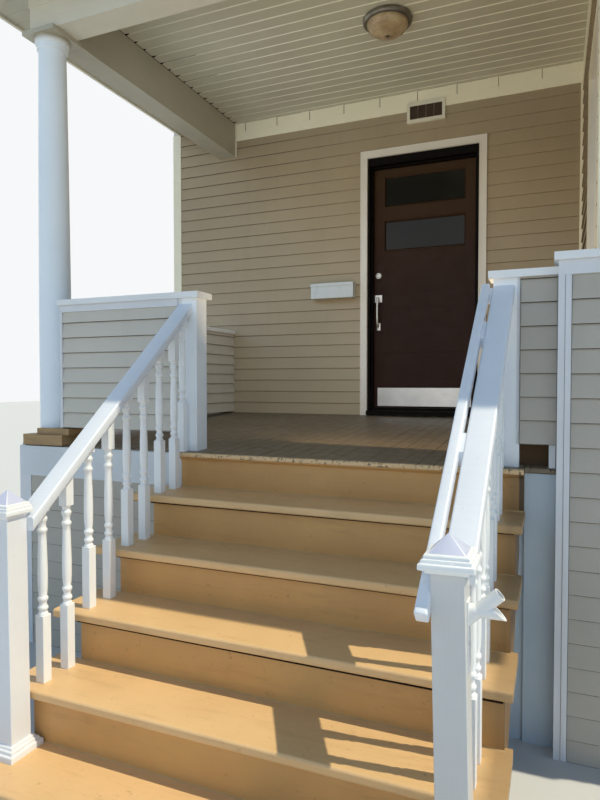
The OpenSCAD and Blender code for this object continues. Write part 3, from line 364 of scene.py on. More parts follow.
# Nearly black undersides of the open walls' clapboards: painted shade under each lap.
OPEN_LAP_SHADE = painted("under_laps_open_shade", (0.018, 0.016, 0.014), (0.012, 0.011, 0.01), 0.8, EVEN, 0.3,
    (0.03, 0.028, 0.024), 0.1)
FILLER = painted("joint_filler", (0.56, 0.36, 0.16), (0.44, 0.28, 0.12), 0.7, (0.3, 3, 3), 0.5, (0.16, 0.11, 0.06))
DARK_TILE = painted("dark_tile", (0.035, 0.018, 0.014), (0.05, 0.028, 0.02), 0.3, EVEN, 0.2)
# Treads and risers are one paint: the risers' darker, oranger copy is painted shade with light thrown up from the
# treads.
TREAD_PAINT = step_paint("tread_paint", (0.75, 0.49, 0.243), (0.685, 0.44, 0.212), (0.2, 0.125, 0.06))
RISER_PAINT = step_paint("riser_paint", (0.6, 0.34, 0.122), (0.533, 0.295, 0.108), (0.15, 0.09, 0.04), 0.85)
# Copies of one vinyl siding that differ by painted light and shade: darker and warmer under the porch roof, greyer
# where the walls stand open, palest on the low walls at the porch's sides and left front.
SIDING = siding("siding_shaded", (0.405, 0.332, 0.222), (0.372, 0.303, 0.203))
SIDING_OUT = siding("siding_open", (0.455, 0.425, 0.375), (0.415, 0.39, 0.345))
LIT_SIDING = siding("siding_lit", (0.6, 0.565, 0.5), (0.55, 0.52, 0.46))
SHINGLES = [shingle("shingle_%d" % i, c) for i, c in enumerate(
    ((0.085, 0.078, 0.072), (0.105, 0.096, 0.088), (0.07, 0.065, 0.062), (0.12, 0.108, 0.096)))]
NEWEL, COLUMN, CEILING_EDGE, DOOR_PAINT = newel_paint(), column_paint(), ceiling_edge(), door_paint()
LAP_LIGHT_AND_SHADE, DECK_PAINT, STEEL, BRONZE = under_lap(), deck_paint(), steel(), bronze()
ALABASTER, GLASS, PLINTH = alabaster(), dark_glass(), plinth_wood()

for material, names in (
        (FRAMING, "deck_frame"), (RISER_PAINT, "stringers risers cove"), (TREAD_PAINT, "treads"),
        (FASCIA, "skirt_boards"), (SIDING_OUT, "left_skirt_wall right_skirt_wall"),
        (SHADED_WHITE, "right_skirt_board"), (NEWEL, "newels"), (RAIL, "handrails inner_rail"),
        (WHITE_UP, "left_balusters right_balusters"), (POST, "low_wall_posts"),
        (WHITE, "left_low_wall left_side_wall short_low_wall right_front_wall right_side_wall"),
        (WHITE, "left_cap right_cap side_caps"), (TRIM, "low_wall_trim"), (PLINTH, "plinths"),
        (COLUMN, "columns"), (BEAM, "front_beam"), (SHADED_BEAM, "side_beams"), (CEILING, "ceiling soffit"),
        (CREAM, "eave_boards side_window number_plate"), (SHINGLES[0], "roof"),
        (PLASTER, "house_base house_wall_left house_wall_right house_wall_top bay_side_wall bay_front_wall"),
        (FRIEZE_PAINT, "wall_trim"), (GLASS, "window_glass door_glass"), (CASING, "door_casing"),
        (DARK_FRAME, "door_frame"), (DOOR_PAINT, "door_leaf"), (STEEL, "kick_plate door_handle"),
        (BRONZE, "jamb_hinges leaf_hinges ceiling_light"), (BOX_METAL, "letter_box letter_box_lid"),
        (ALABASTER, "light_bowl"), (WHITE_METAL, "flag_bracket"), (DECK_PAINT, "deck")):
    for name in names.split():
        for slot in NODES[name].material_slots:
            slot.material = material


# ---- geometry
def add_object(name, data):
    obj = bpy.data.objects.new(name, data)
    bpy.context.scene.collection.objects.link(obj)
    return obj


def circle(radius, count):
    """Points round the origin, from the first axis on."""
    turns = [i * 2 * math.pi / count for i in range(count)]
    return [(radius * math.cos(t), radius * math.sin(t)) for t in turns]


class Form:
    """Collects closed prisms and makes one piece of them. A kind is the index of a face's material."""

    def __init__(self):
        self.verts, self.faces, self.kinds = [], [], []

    def prism(self, sections, kind=0, edge_kinds=None, closed=False):
        """Joins equal rings of points, one after the other, and closes both ends or joins them."""
        start = len(self.verts)
        n = len(sections[0])
        for ring in sections:
            self.verts.extend(ring)
        count = len(sections)
        for k in range(count if closed else count - 1):
            a, b = start + k * n, start + (k + 1) % count * n
            for i in range(n):
                j = (i + 1) % n
                self.faces.append((a + i, a + j, b + j, b + i))
                self.kinds.append(edge_kinds[i] if edge_kinds else kind)
        if closed:
            return
        self.faces.append(tuple(start + i for i in reversed(range(n))))
        last = start + (count - 1) * n
        self.faces.append(tuple(last + i for i in range(n)))
        self.kinds += [kind, kind]

    def bar(self, section, ends, axis, **kinds):
        """Prism of one section between two places on an axis. The section's points leave that axis out."""
        self.prism([[(*p[:axis], end, *p[axis:]) for p in section] for end in ends], **kinds)

    def box(self, a, b, kind=0):
        """Block between two opposite corners."""
        self.bar([(a[0], a[1]), (b[0], a[1]), (b[0], b[1]), (a[0], b[1])], (a[2], b[2]), Z, kind=kind)

    def piece(self, name, materials, body="porch", smooth=None, bevel=0.0):
        """Makes the piece, smooth below an angle in degrees and with its edges eased by a bevel's width."""
        mesh = bpy.data.meshes.new(name)
        mesh.from_pydata([tuple(v) for v in self.verts], [], self.faces)
        for m in materials if isinstance(materials, list) else [materials]:
            mesh.materials.append(m)
        for polygon, kind in zip(mesh.polygons, self.kinds):
            polygon.material_index = kind
        bm = bmesh.new()
        bm.from_mesh(mesh)
        bmesh.ops.recalc_face_normals(bm, faces=bm.faces)
        bm.to_mesh(mesh)
        bm.free()
        obj = add_object(name, mesh)
        if smooth is not None:
            for polygon in mesh.polygons:
                polygon.use_smooth = True
            mesh.set_sharp_from_angle(angle=math.radians(smooth))
        if bevel:
            mod = obj.modifiers.new("edge", "BEVEL")
            mod.width, mod.segments = bevel, 2
            mod.limit_method, mod.angle_limit = "ANGLE", math.radians(40)
        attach(obj, body)
        return obj


# ---- siding, deck and ceiling
rng = random.Random(11)
LAP, LOW_LAP, BACK_LAP = 0.1016, 0.0872, 0.086
FIRST = HOUSE_Z + 0.0986 - LAP
BUTT, FLAT_BUTT, TIP = 0.012, 0.007, 0.0015
SHEET, SHORTEST, SLACK = 3.66, 0.25, 0.0006
LEFT_OF_DECK, RIGHT_OF_DECK, HIDDEN = -2.285, 2.29, 0.05


def laps(form, along, at, out, rects, exposure, first, butt=BUTT):
    """Courses of clapboards along an axis, on the upright face at a place on the other one that looks towards out.

    Rectangles are (u0, u1, z0, z1), and the courses start at the height first. Two courses share their joints.
    """
    starts = {}
    for u0, u1, z0, z1 in rects:
        course = math.floor((z0 - first) / exposure)
        while first + course * exposure < z1 - 0.002:
            zb = first + course * exposure
            low, high = max(zb, z0), min(zb + exposure, z1)
            pair = course // 2
            course += 1
            if high - low <= 0.004:
                continue
            if pair not in starts:
                starts[pair] = rng.uniform(-SHEET, 0)
            cuts, u = [u0], starts[pair]
            while u < u1:
                if u0 + SHORTEST < u < u1 - SHORTEST:
                    cuts.append(u)
                u += SHEET
            cuts.append(u1)
            for i, ends in enumerate(zip(cuts, cuts[1:])):
                thick, thin = (TIP + (butt - TIP) * (1 - (z - zb) / exposure) - SLACK * (i % 2)
                    for z in (low, high))
                section = ((0.0, low), (thick - 0.0012, low), (thick, low + 0.0016), (thin, high), (0.0, high))
                # The underside of each lap and its small chamfer take the second material: painted shade under the
                # lap, and on the house also painted light from below.
                form.bar([(at + out * d, z) for d, z in section], ends, along, edge_kinds=(1, 1, 0, 0, 0))


def clad(name, materials, *walls):
    """One piece of siding on several walls, which are what laps asks for."""
    form = Form()
    for wall in walls:
        laps(form, *wall)
    form.piece(name, materials)


clad("house_siding", [SIDING, LAP_LIGHT_AND_SHADE], (X, WALL_Y, -1, [
    (HOUSE_LEFT + CORNER_W, CASE_LOW[0], HOUSE_Z, FRIEZE_Z),
    (HOUSE_LEFT + CORNER_W, LEFT_OF_DECK, 0.0, HOUSE_Z),
    (CASE_HIGH[0], CORNER_X - IN_CORNER_W, HOUSE_Z, FRIEZE_Z),
    (CASE_LOW[0], CASE_HIGH[0], CASE_HIGH[2], FRIEZE_Z),
    (HOUSE_LEFT, CORNER_X, CEILING_Z + HIDDEN, WALL_TOP),
    (HOUSE_LEFT + CORNER_W, BEAM_LEFT, FRIEZE_Z, CEILING_Z + HIDDEN),
], LAP, FIRST))
(_, win_y0, win_z0), (_, win_y1, win_z1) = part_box("side_window")
y0, y1 = BAY_Y + CORNER_W, WALL_Y - IN_CORNER_W
clad("bay_side_siding", [SIDING, LAP_LIGHT_AND_SHADE], (Y, CORNER_X, -1, [
    (y0, win_y0, deck_z(y0), FRIEZE_Z),
    (win_y1, y1, HOUSE_Z, FRIEZE_Z),
    (win_y0, win_y1, HOUSE_Z - 0.03, win_z0),
    (win_y0, win_y1, win_z1, FRIEZE_Z),
    (BAY_Y, WALL_Y, CEILING_Z + HIDDEN, WALL_TOP),
], LAP, FIRST))
clad("bay_front_siding", [SIDING, LAP_LIGHT_AND_SHADE], (X, BAY_Y, -1, [
    (CORNER_X + CORNER_W, RIGHT_OF_DECK, deck_z(BAY_Y), CEILING_Z),
    (RIGHT_OF_DECK, HOUSE_RIGHT, 0.0, CEILING_Z),
    (CORNER_X, HOUSE_RIGHT, CEILING_Z + 0.02, WALL_TOP),
], LAP, FIRST))

# Low walls. On those near the steps the courses are measured from a lap near the top
LOW_TRIM_X = -1.977
a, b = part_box("left_low_wall")
walls = [(X, a[1], -1, [(LOW_TRIM_X, b[0], a[2], b[2] - 0.04)], LOW_LAP, 1.9136 - LOW_LAP * 8),
    (X, b[1], 1, [(a[0], b[0], a[2], b[2])], BACK_LAP, a[2])]
for node in ("left_side_wall", "right_side_wall"):
    a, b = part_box(node)
    walls += [(Y, x, out, [(a[1], b[1], a[2], b[2])], BACK_LAP, a[2]) for x, out in ((a[0], -1), (b[0], 1))]
clad("low_wall_siding", [LIT_SIDING, OPEN_LAP_SHADE], *walls)

span = [(STUB_LOW[0], STUB_HIGH[0], STUB_LOW[2], STUB_HIGH[2])]
column_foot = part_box("plinths")[1][2]
a, b = TALL_LOW, TALL_HIGH
clad("near_wall_siding", [SIDING_OUT, OPEN_LAP_SHADE],
    (X, STUB_LOW[1], -1, span, 0.1007, 1.9068 - 0.1007 * 6),
    (X, STUB_HIGH[1], 1, span, 0.1007, 1.9068 - 0.1007 * 6),
    (X, a[1], -1, [(a[0] + 0.05, CORNER_IN, 0.0, b[2] - 0.06),
    (CORNER_IN, b[0], column_foot, b[2] - 0.06)], 0.1005, 1.9028 - 0.1005 * 19),
    (X, b[1], 1, [(a[0] + 0.01, CORNER_IN, deck_z(b[1]), b[2]),
    (CORNER_IN, b[0], column_foot, b[2])], LAP, 0.03))

# Skirts below the deck
a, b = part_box("left_skirt_wall")
c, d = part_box("right_skirt_wall")
clad("skirt_siding", [SIDING_OUT, OPEN_LAP_SHADE], *(
    (along, at, out, [(u0, u1, 0, top - SKIRT_BOARD)], LAP, 0.0, FLAT_BUTT) for along, at, out, u0, u1, top in (
    (X, a[1], -1, a[0] + SKIRT_CORNER, b[0], FRONT_Z), (Y, a[0], -1, a[1] + SKIRT_CORNER, WALL_Y, HOUSE_Z),
    (X, c[1], -1, c[0], d[0], FRONT_Z), (Y, d[0], 1, c[1], BAY_Y, deck_z(BAY_Y)))))

# Deck boards, run from front to back: each has its own height and a few have chipped front corners
BOARD, BOARD_T, BOARD_GAP, BOARD_EDGE, CHIPPED = 0.0795, 0.022, 0.0006, 0.0022, 0.45
deck = Form()
string_left, header_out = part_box("risers")[0][0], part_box("risers")[1][0]
for x0, x1, ya, yb in (
        (-DECK_SIDE, string_left, DECK_EDGE, WALL_Y), (string_left, header_out, DECK_NOSE, WALL_Y),
        (header_out, STUB_HIGH[0], -0.566, WALL_Y), (STUB_HIGH[0], CORNER_X, TALL_HIGH[1], WALL_Y),
        (CORNER_X, CORNER_IN, TALL_HIGH[1], BAY_Y), (CORNER_IN, DECK_SIDE, DECK_EDGE, BAY_Y)):
    index = math.floor((x0 + DECK_SIDE) / BOARD)
    while -DECK_SIDE + index * BOARD < x1 - 0.002:
        left = max(x0, -DECK_SIDE + index * BOARD) + BOARD_GAP
        right = min(x1, -DECK_SIDE + (index + 1) * BOARD) - BOARD_GAP
        index += 1
        if right - left < 0.003 - 2 * BOARD_GAP:
            continue
        lift = rng.uniform(-0.001, 0.0)
        chips = [rng.uniform(0.002, 0.009) if rng.random() < CHIPPED else BOARD_EDGE for _ in range(2)]
        front_y = ya + (rng.uniform(0.0, 0.0022) if ya == DECK_NOSE else 0.0)
        rings = []
        for y, drop, worn in ((front_y, 0.0055, 1), (front_y + 0.0022, 0.0019, 1), (front_y + 0.007, 0.0, 0.8),
                (front_y + 0.022, 0.0, 0), (yb, 0.0, 0)):
            under, top = deck_z(y) - BOARD_T + drop * 0.7, deck_z(y) + lift - drop
            cl, cr = [BOARD_EDGE + (chip - BOARD_EDGE) * worn for chip in chips]
            rings.append([(left, y, under), (right, y, under), (right, y, top - cr), (right - cr, y, top),
                (left + cl, y, top), (left, y, top - cl)])
        deck.prism(rings)
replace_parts(deck.piece("deck_boards", DECK_PAINT), "deck")

# Ceiling of beaded boards, run along the house
STEP, CEILING_BEVEL, CEILING_T = 0.1016, 0.012, 0.012
GROOVE_1 = WALL_Y - 0.64 * STEP
ceiling = Form()
y, low_y = WALL_Y, GROOVE_1
while y > CEILING_FRONT + 0.002:
    parts = [(low_y, y, CORNER_X if y > BAY_Y + 0.001 else CEILING_RIGHT)]
    if low_y < BAY_Y < y:
        parts = [(BAY_Y, y, CORNER_X), (low_y, BAY_Y, CEILING_RIGHT)]
    for ya, yb, x1 in parts:
        top = CEILING_Z + CEILING_T
        ring = [(ya, top), (ya, CEILING_Z + 0.0085), (ya + CEILING_BEVEL, CEILING_Z), (yb - 0.0005, CEILING_Z),
            (yb - 0.0005, top)]
        ceiling.bar(ring, (CEILING_LEFT + 0.004, x1), X, edge_kinds=(0, 1, 0, 0, 0))
    y, low_y = low_y, max(low_y - STEP, CEILING_FRONT)
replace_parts(ceiling.piece("ceiling_boards", [CEILING, CEILING_EDGE]), "ceiling")


# ---- rails, newels and balusters
def sloped(form, profile, ends, centre):
    """Bar with an upright cut at each end that follows the handrail's plane."""
    form.prism([[(centre(y) + u, y, rail_z(y) + w / COS) for u, w in profile] for y in ends])


half_profile = mm((36.3, 0), (39.4, -0.6), (41.9, -2.3), (43.7, -4.9), (44.3, -8), (44.3, -34.5), (43.6, -36.7),
    (41.3, -37.9))
profile = half_profile + [(-u, w) for u, w in reversed(half_profile)]
rails = Form()
for centre in (lambda y: LEFT_RAIL, right_x):
    sloped(rails, profile, (RAIL_LOW[0], RAIL_HIGH[0]), centre)
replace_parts(rails.piece("moulded_handrails", RAIL, smooth=38), "handrails")

# The inner rail: its lower end is cut square and all its long edges are eased
INNER_LOW, INNER_HIGH, INNER_IN, INNER_UP = -1.785, -0.5695, 0.0445 + 0.012, 0.016 / COS
INNER_W, INNER_H, RAIL_SIDE = 0.036, 0.044, -0.0435
INNER_RING = mm((6, 0), (30, 0), (32.8, -0.7), (35, -2.7), (36, -6), (36, -40), (35, -43), (32, -44), (4, -44),
    (1, -43), (0, -40), (0, -6), (1, -2.7), (3.2, -0.7))


def inner_ring(y, k=1.0, back=0.0, square=True):
    """Section of the inner rail, shrunk by a factor k about its middle; square to the rail or upright."""
    points = []
    for u, w in INNER_RING:
        u, w = INNER_W / 2 + (u - INNER_W / 2) * k, -INNER_H / 2 + (w + INNER_H / 2) * k
        along = y + back * COS + (-w * SIN if square else 0.0)
        height = rail_z(y + back * COS) + INNER_UP + (w * COS if square else w / COS)
        points.append((right_x(along) - INNER_IN - INNER_W + u, along, height))
    return points


inner = Form()
inner.prism([inner_ring(INNER_LOW, k, back) for k, back in ((0.78, 0.0006), (0.9, 0.0018), (0.97, 0.004),
    (1.0, 0.008))] + [inner_ring(INNER_HIGH, square=False)])
block = [(-INNER_IN - 0.002, 0), (RAIL_SIDE, 0), (RAIL_SIDE, -0.036), (-INNER_IN - 0.002, -0.036)]
for share, length in ((0.021, 0.044), (0.33, 0.067), (0.776, 0.074), (0.973, 0.033)):
    y = RAIL_LOW[0] + share * (RAIL_HIGH[0] - RAIL_LOW[0])
    sloped(inner, block, (y - length / 2, y + length / 2), right_x)
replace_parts(inner.piece("inner_handrail", RAIL, smooth=38), "inner_rail")

NEWEL_Y, PIVOT = -1.691, 0.003


def square_ring(half, z, c, x, lean):
    """Square with cut corners round a newel's axis, tilted about the newel's foot."""
    points = [(half, half - c), (half - c, half), (c - half, half), (-half, half - c), (-half, c - half),
        (c - half, -half), (half - c, -half), (half, c - half)]
    sin, cos = math.sin(lean), math.cos(lean)
    up = z - PIVOT
    return [(x + px * cos - up * sin, NEWEL_Y + py, RISE + PIVOT + px * sin + up * cos) for px, py in points]


# Half widths and heights over the first tread of the newels' foot moulding, cap slab and cap steps
foot = mm((75, 0), (75, 18.5), (73.8, 21), (70, 22.2), (65.5, 23), (65, 31), (63.5, 33.5), (60, 34.5), (56.5, 35.5),
    (55.5, 40), (53.5, 43), (50, 44), (44, 44))
slab = mm((44, 860), (57.5, 863), (58, 872.5), (70, 873), (72.5, 874), (73.8, 876.5), (73.8, 887), (72.8, 889.5),
    (70, 891.2))
steps = mm((66.5, 891.8), (66, 893), (66, 899), (65, 900.8), (61.2, 901.6), (60.2, 902.8), (60.2, 909.5), (59, 911.5),
    (52.5, 914))
newels = Form()
for x, lean, wide, inset, lift, peak in ((LEFT_RAIL - 0.023, 0.0095, 0.82, 0.88, 0.008, 0.9685),
        (RIGHT_RAIL - 0.017, math.radians(1.4), 1.0, 1.0, 0.0, 0.961)):
    newels.prism([square_ring(h, z, 0.0012, x, 0.0) for h, z in foot])
    newels.prism([square_ring(0.045, z, 0.0022, x, lean) for z in (0.0045, 0.8715 + lift)])
    rings = [(max(h * wide, 0.044), z) for h, z in slab] + [(min(h * inset, 0.07 * wide), z) for h, z in steps]
    newels.prism([square_ring(h, z + lift, 0.0014, x, lean) for h, z in rings], 2)
    # The pyramid takes the darker, bluer cap-top copy of the white as painted shade, and its hip chamfers the brighter
    # white as painted highlights.
    low, half = 0.913 + lift, 0.0515 * inset
    newels.prism([square_ring(half * (1 - f) + 0.0012 * f, low + (peak - low) * f, 0.003 * (1 - f) + 0.0005 * f,
        x, lean) for f in (0.0, 0.25, 0.5, 0.75, 1.0)], 1, (2, 1, 2, 1, 2, 1, 2, 1))
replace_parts(newels.piece("newel_posts", [NEWEL, SHADED_CAP_TOP, WHITE_UP], smooth=30), "newels")

# The balusters' turning: places in thousandths of its length, radii in hundredths of its largest one
TURNING = (
    (0, 90), (12, 92), (22, 80), (30, 71), (42, 74), (50, 88), (64, 95), (78, 90), (86, 77), (98, 69), (114, 68),
    (126, 73), (136, 84), (146, 93), (158, 95), (169, 91), (178, 78),
    *((186 + 606 * f / 12, 71.5 + 19.5 * math.sin(math.pi * (f / 12) ** 0.62)) for f in range(13)),
    (800, 80), (809, 90), (822, 94), (834, 90), (843, 76), (854, 69), (872, 67), (890, 70), (903, 80), (916, 91),
    (932, 95), (947, 89), (956, 72), (966, 67), (976, 72), (986, 87), (1000, 90))
TURN_LOW, TURN_HIGH, TURN_R, SQUARE, EASED, EASED_SHARE = 0.262, 0.662, 0.0208, 0.0204, 0.0016, 0.93
BALUSTER_IN, DECK_BALUSTER_IN, RAIL_UNDER = 0.078, 0.038, 0.0378 / COS


def baluster(form, x, y, foot_z):
    """Turned baluster: square ends with eased edges, the upper one cut off under the rail."""
    s, c = SQUARE, EASED
    corners = [(s, c - s), (s, s - c), (s - c, s), (c - s, s), (-s, s - c), (-s, c - s), (c - s, -s), (s - c, -s)]
    full = [(x + u, y + v) for u, v in corners]
    small = [(x + u * EASED_SHARE, y + v * EASED_SHARE) for u, v in corners]
    low, high = foot_z + TURN_LOW, foot_z + TURN_HIGH
    form.prism([[(*p, z) for p in points] for points, z in ((full, foot_z + 0.0004), (full, low - EASED),
        (small, low))])
    form.prism([[(x + u, y + v, low + t / 1000 * (high - low)) for u, v in circle(r / 100 * TURN_R, 20)]
        for t, r in TURNING])
    form.prism([[(*p, high) for p in small], [(*p, high + EASED) for p in full],
        [(px, py, rail_z(py) - RAIL_UNDER) for px, py in full]])


for side, x in (("left", LEFT_RAIL), ("right", RIGHT_RAIL)):
    balusters = Form()
    for k in range(4):
        for back in (0, GOING / 2):
            baluster(balusters, x, NOSE_1 - k * GOING + BALUSTER_IN + back, (5 - k) * RISE)
    y = DECK_NOSE + DECK_BALUSTER_IN
    baluster(balusters, x, y, deck_z(y + 0.019))
    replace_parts(balusters.piece("turned_balusters_" + side, WHITE_UP, smooth=35), side + "_balusters")


# ---- small parts round the door and the walls
def mitred(form, x0, x1, z0, z1, ring, side=1.0):
    """Moulding mitred round an upright rectangle. Ring points are (inset, y); side scales the insets along X."""
    corners = ((x0, z0, 1, 1), (x1, z0, -1, 1), (x1, z1, -1, -1), (x0, z1, 1, -1))
    form.prism([[(cx + sx * d * side, y, cz + sz * d) for d, y in ring] for cx, cz, sx, sz in corners], closed=True)


def disc(form, x, y, z, r, depth, axis=Y, n=24, dome=0.0):
    """Round head on a face: a short cylinder whose edge is eased, pointing to -Y or up."""
    rings = []
    for rr, d in ((r, 0.0), (r, depth * 0.7), (r - depth * 0.25, depth * 0.95), (r * 0.5, depth + dome),
            (r * 0.05, depth + dome)):
        rings.append([(x + u, y - d, z + v) if axis == Y else (x + u, y + v, z + d) for u, v in circle(rr, n)])
    form.prism(rings)


def tube(form, x, path, n=14):
    """Round bar through points (y, z, radius) in the plane across X at x."""
    rings = []
    for i, (y, z, r) in enumerate(path):
        before, after = path[max(i - 1, 0)], path[min(i + 1, len(path) - 1)]
        run = Vector((after[0] - before[0], after[1] - before[1])).normalized()
        rings.append([(x + u, y - run.y * v, z + run.x * v) for u, v in circle(r, n)])
    form.prism(rings)


def plate(form, x, z, half_x, half_z, layers):
    """Flat plate on the door round a middle. Its layers are (distance from the leaf, share of its size)."""
    corners = [(-half_x, -half_z), (half_x, -half_z), (half_x, half_z), (-half_x, half_z)]
    form.prism([[(x + u * k, LEAF_Y - d, z + w * k) for u, w in corners] for d, k in layers])


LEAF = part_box("door_leaf")
LEAF_Y, LEAF_Z = LEAF[0][1], LEAF[0][2]
DOOR_X = (LEAF[0][0] + LEAF[1][0]) / 2
PANEL_Z, PANEL_STEP, PANEL_HALF_W, PANEL_H = LEAF_Z + 0.208, 0.374, 0.335, 0.267
# Rings of (inset, depth): the three panels, with a field inside them, and the two panes
SUNK = mm((0, 7.9), (0, 0.3), (3, 0.3), (8, 2.2), (16, 2.8), (18, 7.9))
GLAZING = mm((-6, 0), (-6, -3), (-3, -4.5), (4, -4.5), (8, -1), (14, 9), (16.5, 10.5), (16.5, 18.8), (0, 18.8), (0, 0))
mouldings = Form()
for i in range(5):
    x0, x1, z0 = DOOR_X - PANEL_HALF_W, DOOR_X + PANEL_HALF_W, PANEL_Z + i * PANEL_STEP
    z1 = z0 + PANEL_H
    ring, side = (SUNK, 1.0) if i < 3 else (GLAZING, 0.35)
    mitred(mouldings, x0, x1, z0, z1, [(inset, LEAF_Y + depth) for inset, depth in ring], side)
    if i < 3:
        mouldings.box((x0 + 0.0165, LEAF_Y + 0.0027, z0 + 0.0165), (x1 - 0.0165, LEAF_Y + 0.0079, z1 - 0.0165))
mouldings.piece("door_mouldings", DOOR_PAINT, "door", smooth=25)

sweep = Form()
sweep.box((LEAF[0][0] + 0.003, LEAF_Y + 0.012, LEAF_Z - 0.0042), (LEAF[1][0] - 0.003, LEAF_Y + 0.03, LEAF_Z + 0.001))
sweep.piece("door_sweep", DARK_FRAME, "door")

a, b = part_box("kick_plate")
screws = Form()
for i in range(7):
    for z in (a[2] + 0.01, b[2] - 0.01):
        disc(screws, a[0] + 0.012 + i * (b[0] - a[0] - 0.024) / 6, a[1], z, 0.0036, 0.0012, n=10)
screws.piece("kick_plate_screws", STEEL, "door", smooth=30)

# Dead bolt, handle plate with thumb turn and the bowed grip with its foot, and the inside knob
hx, hz, bolt_z = LEAF[0][0] + 0.046, LEAF_Z + 0.93, LEAF_Z + 0.93 + 0.196
grip = Form()
disc(grip, hx, LEAF_Y, bolt_z, 0.026, 0.014, n=32)
disc(grip, hx, LEAF_Y - 0.013, bolt_z, 0.017, 0.01, n=28, dome=0.001)
grip.box((hx - 0.0012, LEAF_Y - 0.0245, hz + 0.188), (hx + 0.0012, LEAF_Y - 0.022, hz + 0.204))
plate(grip, hx, hz, 0.032, 0.032, ((0, 1), (0.006, 1), (0.008, 0.94)))
tube(grip, hx, [(LEAF_Y - d, hz + h, r) for d, h, r in mm(
    (4, 4, 11), (26, 6, 11), (42, -4, 10.5), (48, -40, 9), (50, -100, 8.5), (49, -160, 9), (44, -210, 9.5),
    (26, -236, 9), (2, -240, 8.5))])
grip.box((hx - 0.012, LEAF_Y - 0.046, hz + 0.01), (hx + 0.012, LEAF_Y - 0.006, hz + 0.016))
plate(grip, hx, hz - 0.24, 0.016, 0.032, ((0, 1), (0.003, 1), (0.004, 0.9)))
back = LEAF[1][1]
for z, r, depth in ((bolt_z, 0.023, -0.012), (hz, 0.03, -0.008)):
    disc(grip, hx, back, z, r, depth, n=28)
tube(grip, hx, [(back + d, hz, r) for d, r in mm((0, 12), (12, 11), (18, 18), (26, 26), (36, 25), (42, 12))], 24)
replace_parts(grip.piece("handle_set", STEEL, "door", smooth=35), "door_handle")

# Ribs on the threshold
a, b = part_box("door_frame")
sill = Form()
for i in range(5):
    y, z = WALL_Y - 0.058 + i * 0.012, HOUSE_Z + 0.0385
    sill.bar([(y, z), (y + 0.0015, z + 0.0022), (y + 0.0065, z + 0.0022), (y + 0.008, z)],
        (a[0] + 0.008, b[0] - 0.008), X)
sill.piece("threshold_ribs", DARK_FRAME, smooth=30)

# Casing: a bead round its outer and inner edges
beads = Form()
face = CASE_LOW[1]
bead = mm((0, 1), (0, -2), (3, -3.5), (6, -2), (8, 1))
for inset in (0.0, 0.052):
    x0, x1, top = CASE_LOW[0] + inset, CASE_HIGH[0] - inset, CASE_HIGH[2] - inset
    beads.prism([[(cx + sx * d, face + out, cz + sz * d) for d, out in bead] for cx, cz, sx, sz in (
        (x0, HOUSE_Z, 1, 0), (x0, top, 1, -1), (x1, top, -1, -1), (x1, HOUSE_Z, -1, 0))])
beads.piece("casing_beads", CASING, smooth=35)

# Four plain tiles in the number plate's frame
a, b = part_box("number_plate")
tiles = Form()
BORDER, TILE_GAP, TILE_END = 0.024, 0.0012, 0.0285
step = (b[0] - a[0] - 2 * BORDER) / 4
for i in range(4):
    x = a[0] + BORDER + i * step
    tiles.prism([[(px, y, pz) for px, pz in ((x + e, a[2] + f), (x + step - e, a[2] + f), (x + step - e, b[2] - f),
        (x + e, b[2] - f))]
        for y, e, f in ((a[1] + 0.0085, TILE_GAP, TILE_END), (a[1] + 0.004, TILE_GAP, TILE_END),
        (a[1] + 0.003, TILE_GAP * 2, TILE_END + 0.0012))])
tiles.piece("plain_tiles", DARK_TILE, smooth=25)

# Letter box: a thin rim on its front
a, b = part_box("letter_box")
rim = Form()
mitred(rim, a[0], b[0], a[2], b[2] - 0.024,
    [(0, a[1] + 0.0005), (0, a[1] - 0.0008), (0.005, a[1] - 0.0008), (0.006, a[1] + 0.0005)])
rim.piece("letter_box_rim", BOX_METAL, smooth=30)

# Ceiling light: two beads on the rim, two steps on the finial
a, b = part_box("ceiling_light")
lx, ly = (a[0] + b[0]) / 2, (a[1] + b[1]) / 2
trim = Form()
for radius, z0, t in ((0.1595, CEILING_Z - 0.02, 0.0032), (0.15, CEILING_Z - 0.0345, 0.0024)):
    trim.prism([[(lx + (radius - t + u) * ca, ly + (radius - t + u) * sa, z0 + v) for u, v in circle(t, 8)]
        for ca, sa in circle(1, 64)], closed=True)
for radius, z0 in ((0.013, CEILING_Z - 0.1165), (0.009, CEILING_Z - 0.112)):
    disc(trim, lx, ly, z0, radius, 0.004, axis=Z)
trim.piece("light_trim", BRONZE, smooth=40)

# Trim at the side beam's wall end
LEFT_IN = -CEILING_RIGHT
trims = Form()
trims.box((LEFT_IN, WALL_Y - 0.014, BEAM_Z), (LEFT_IN + 0.012, WALL_Y - 0.0122, FRIEZE_Z))
trims.box((LEFT_IN, WALL_Y - IN_CORNER_W, BEAM_Z), (LEFT_IN + 0.01, WALL_Y - 0.014, CEILING_Z))
trims.piece("beam_end_trim", CREAM, bevel=0.001)

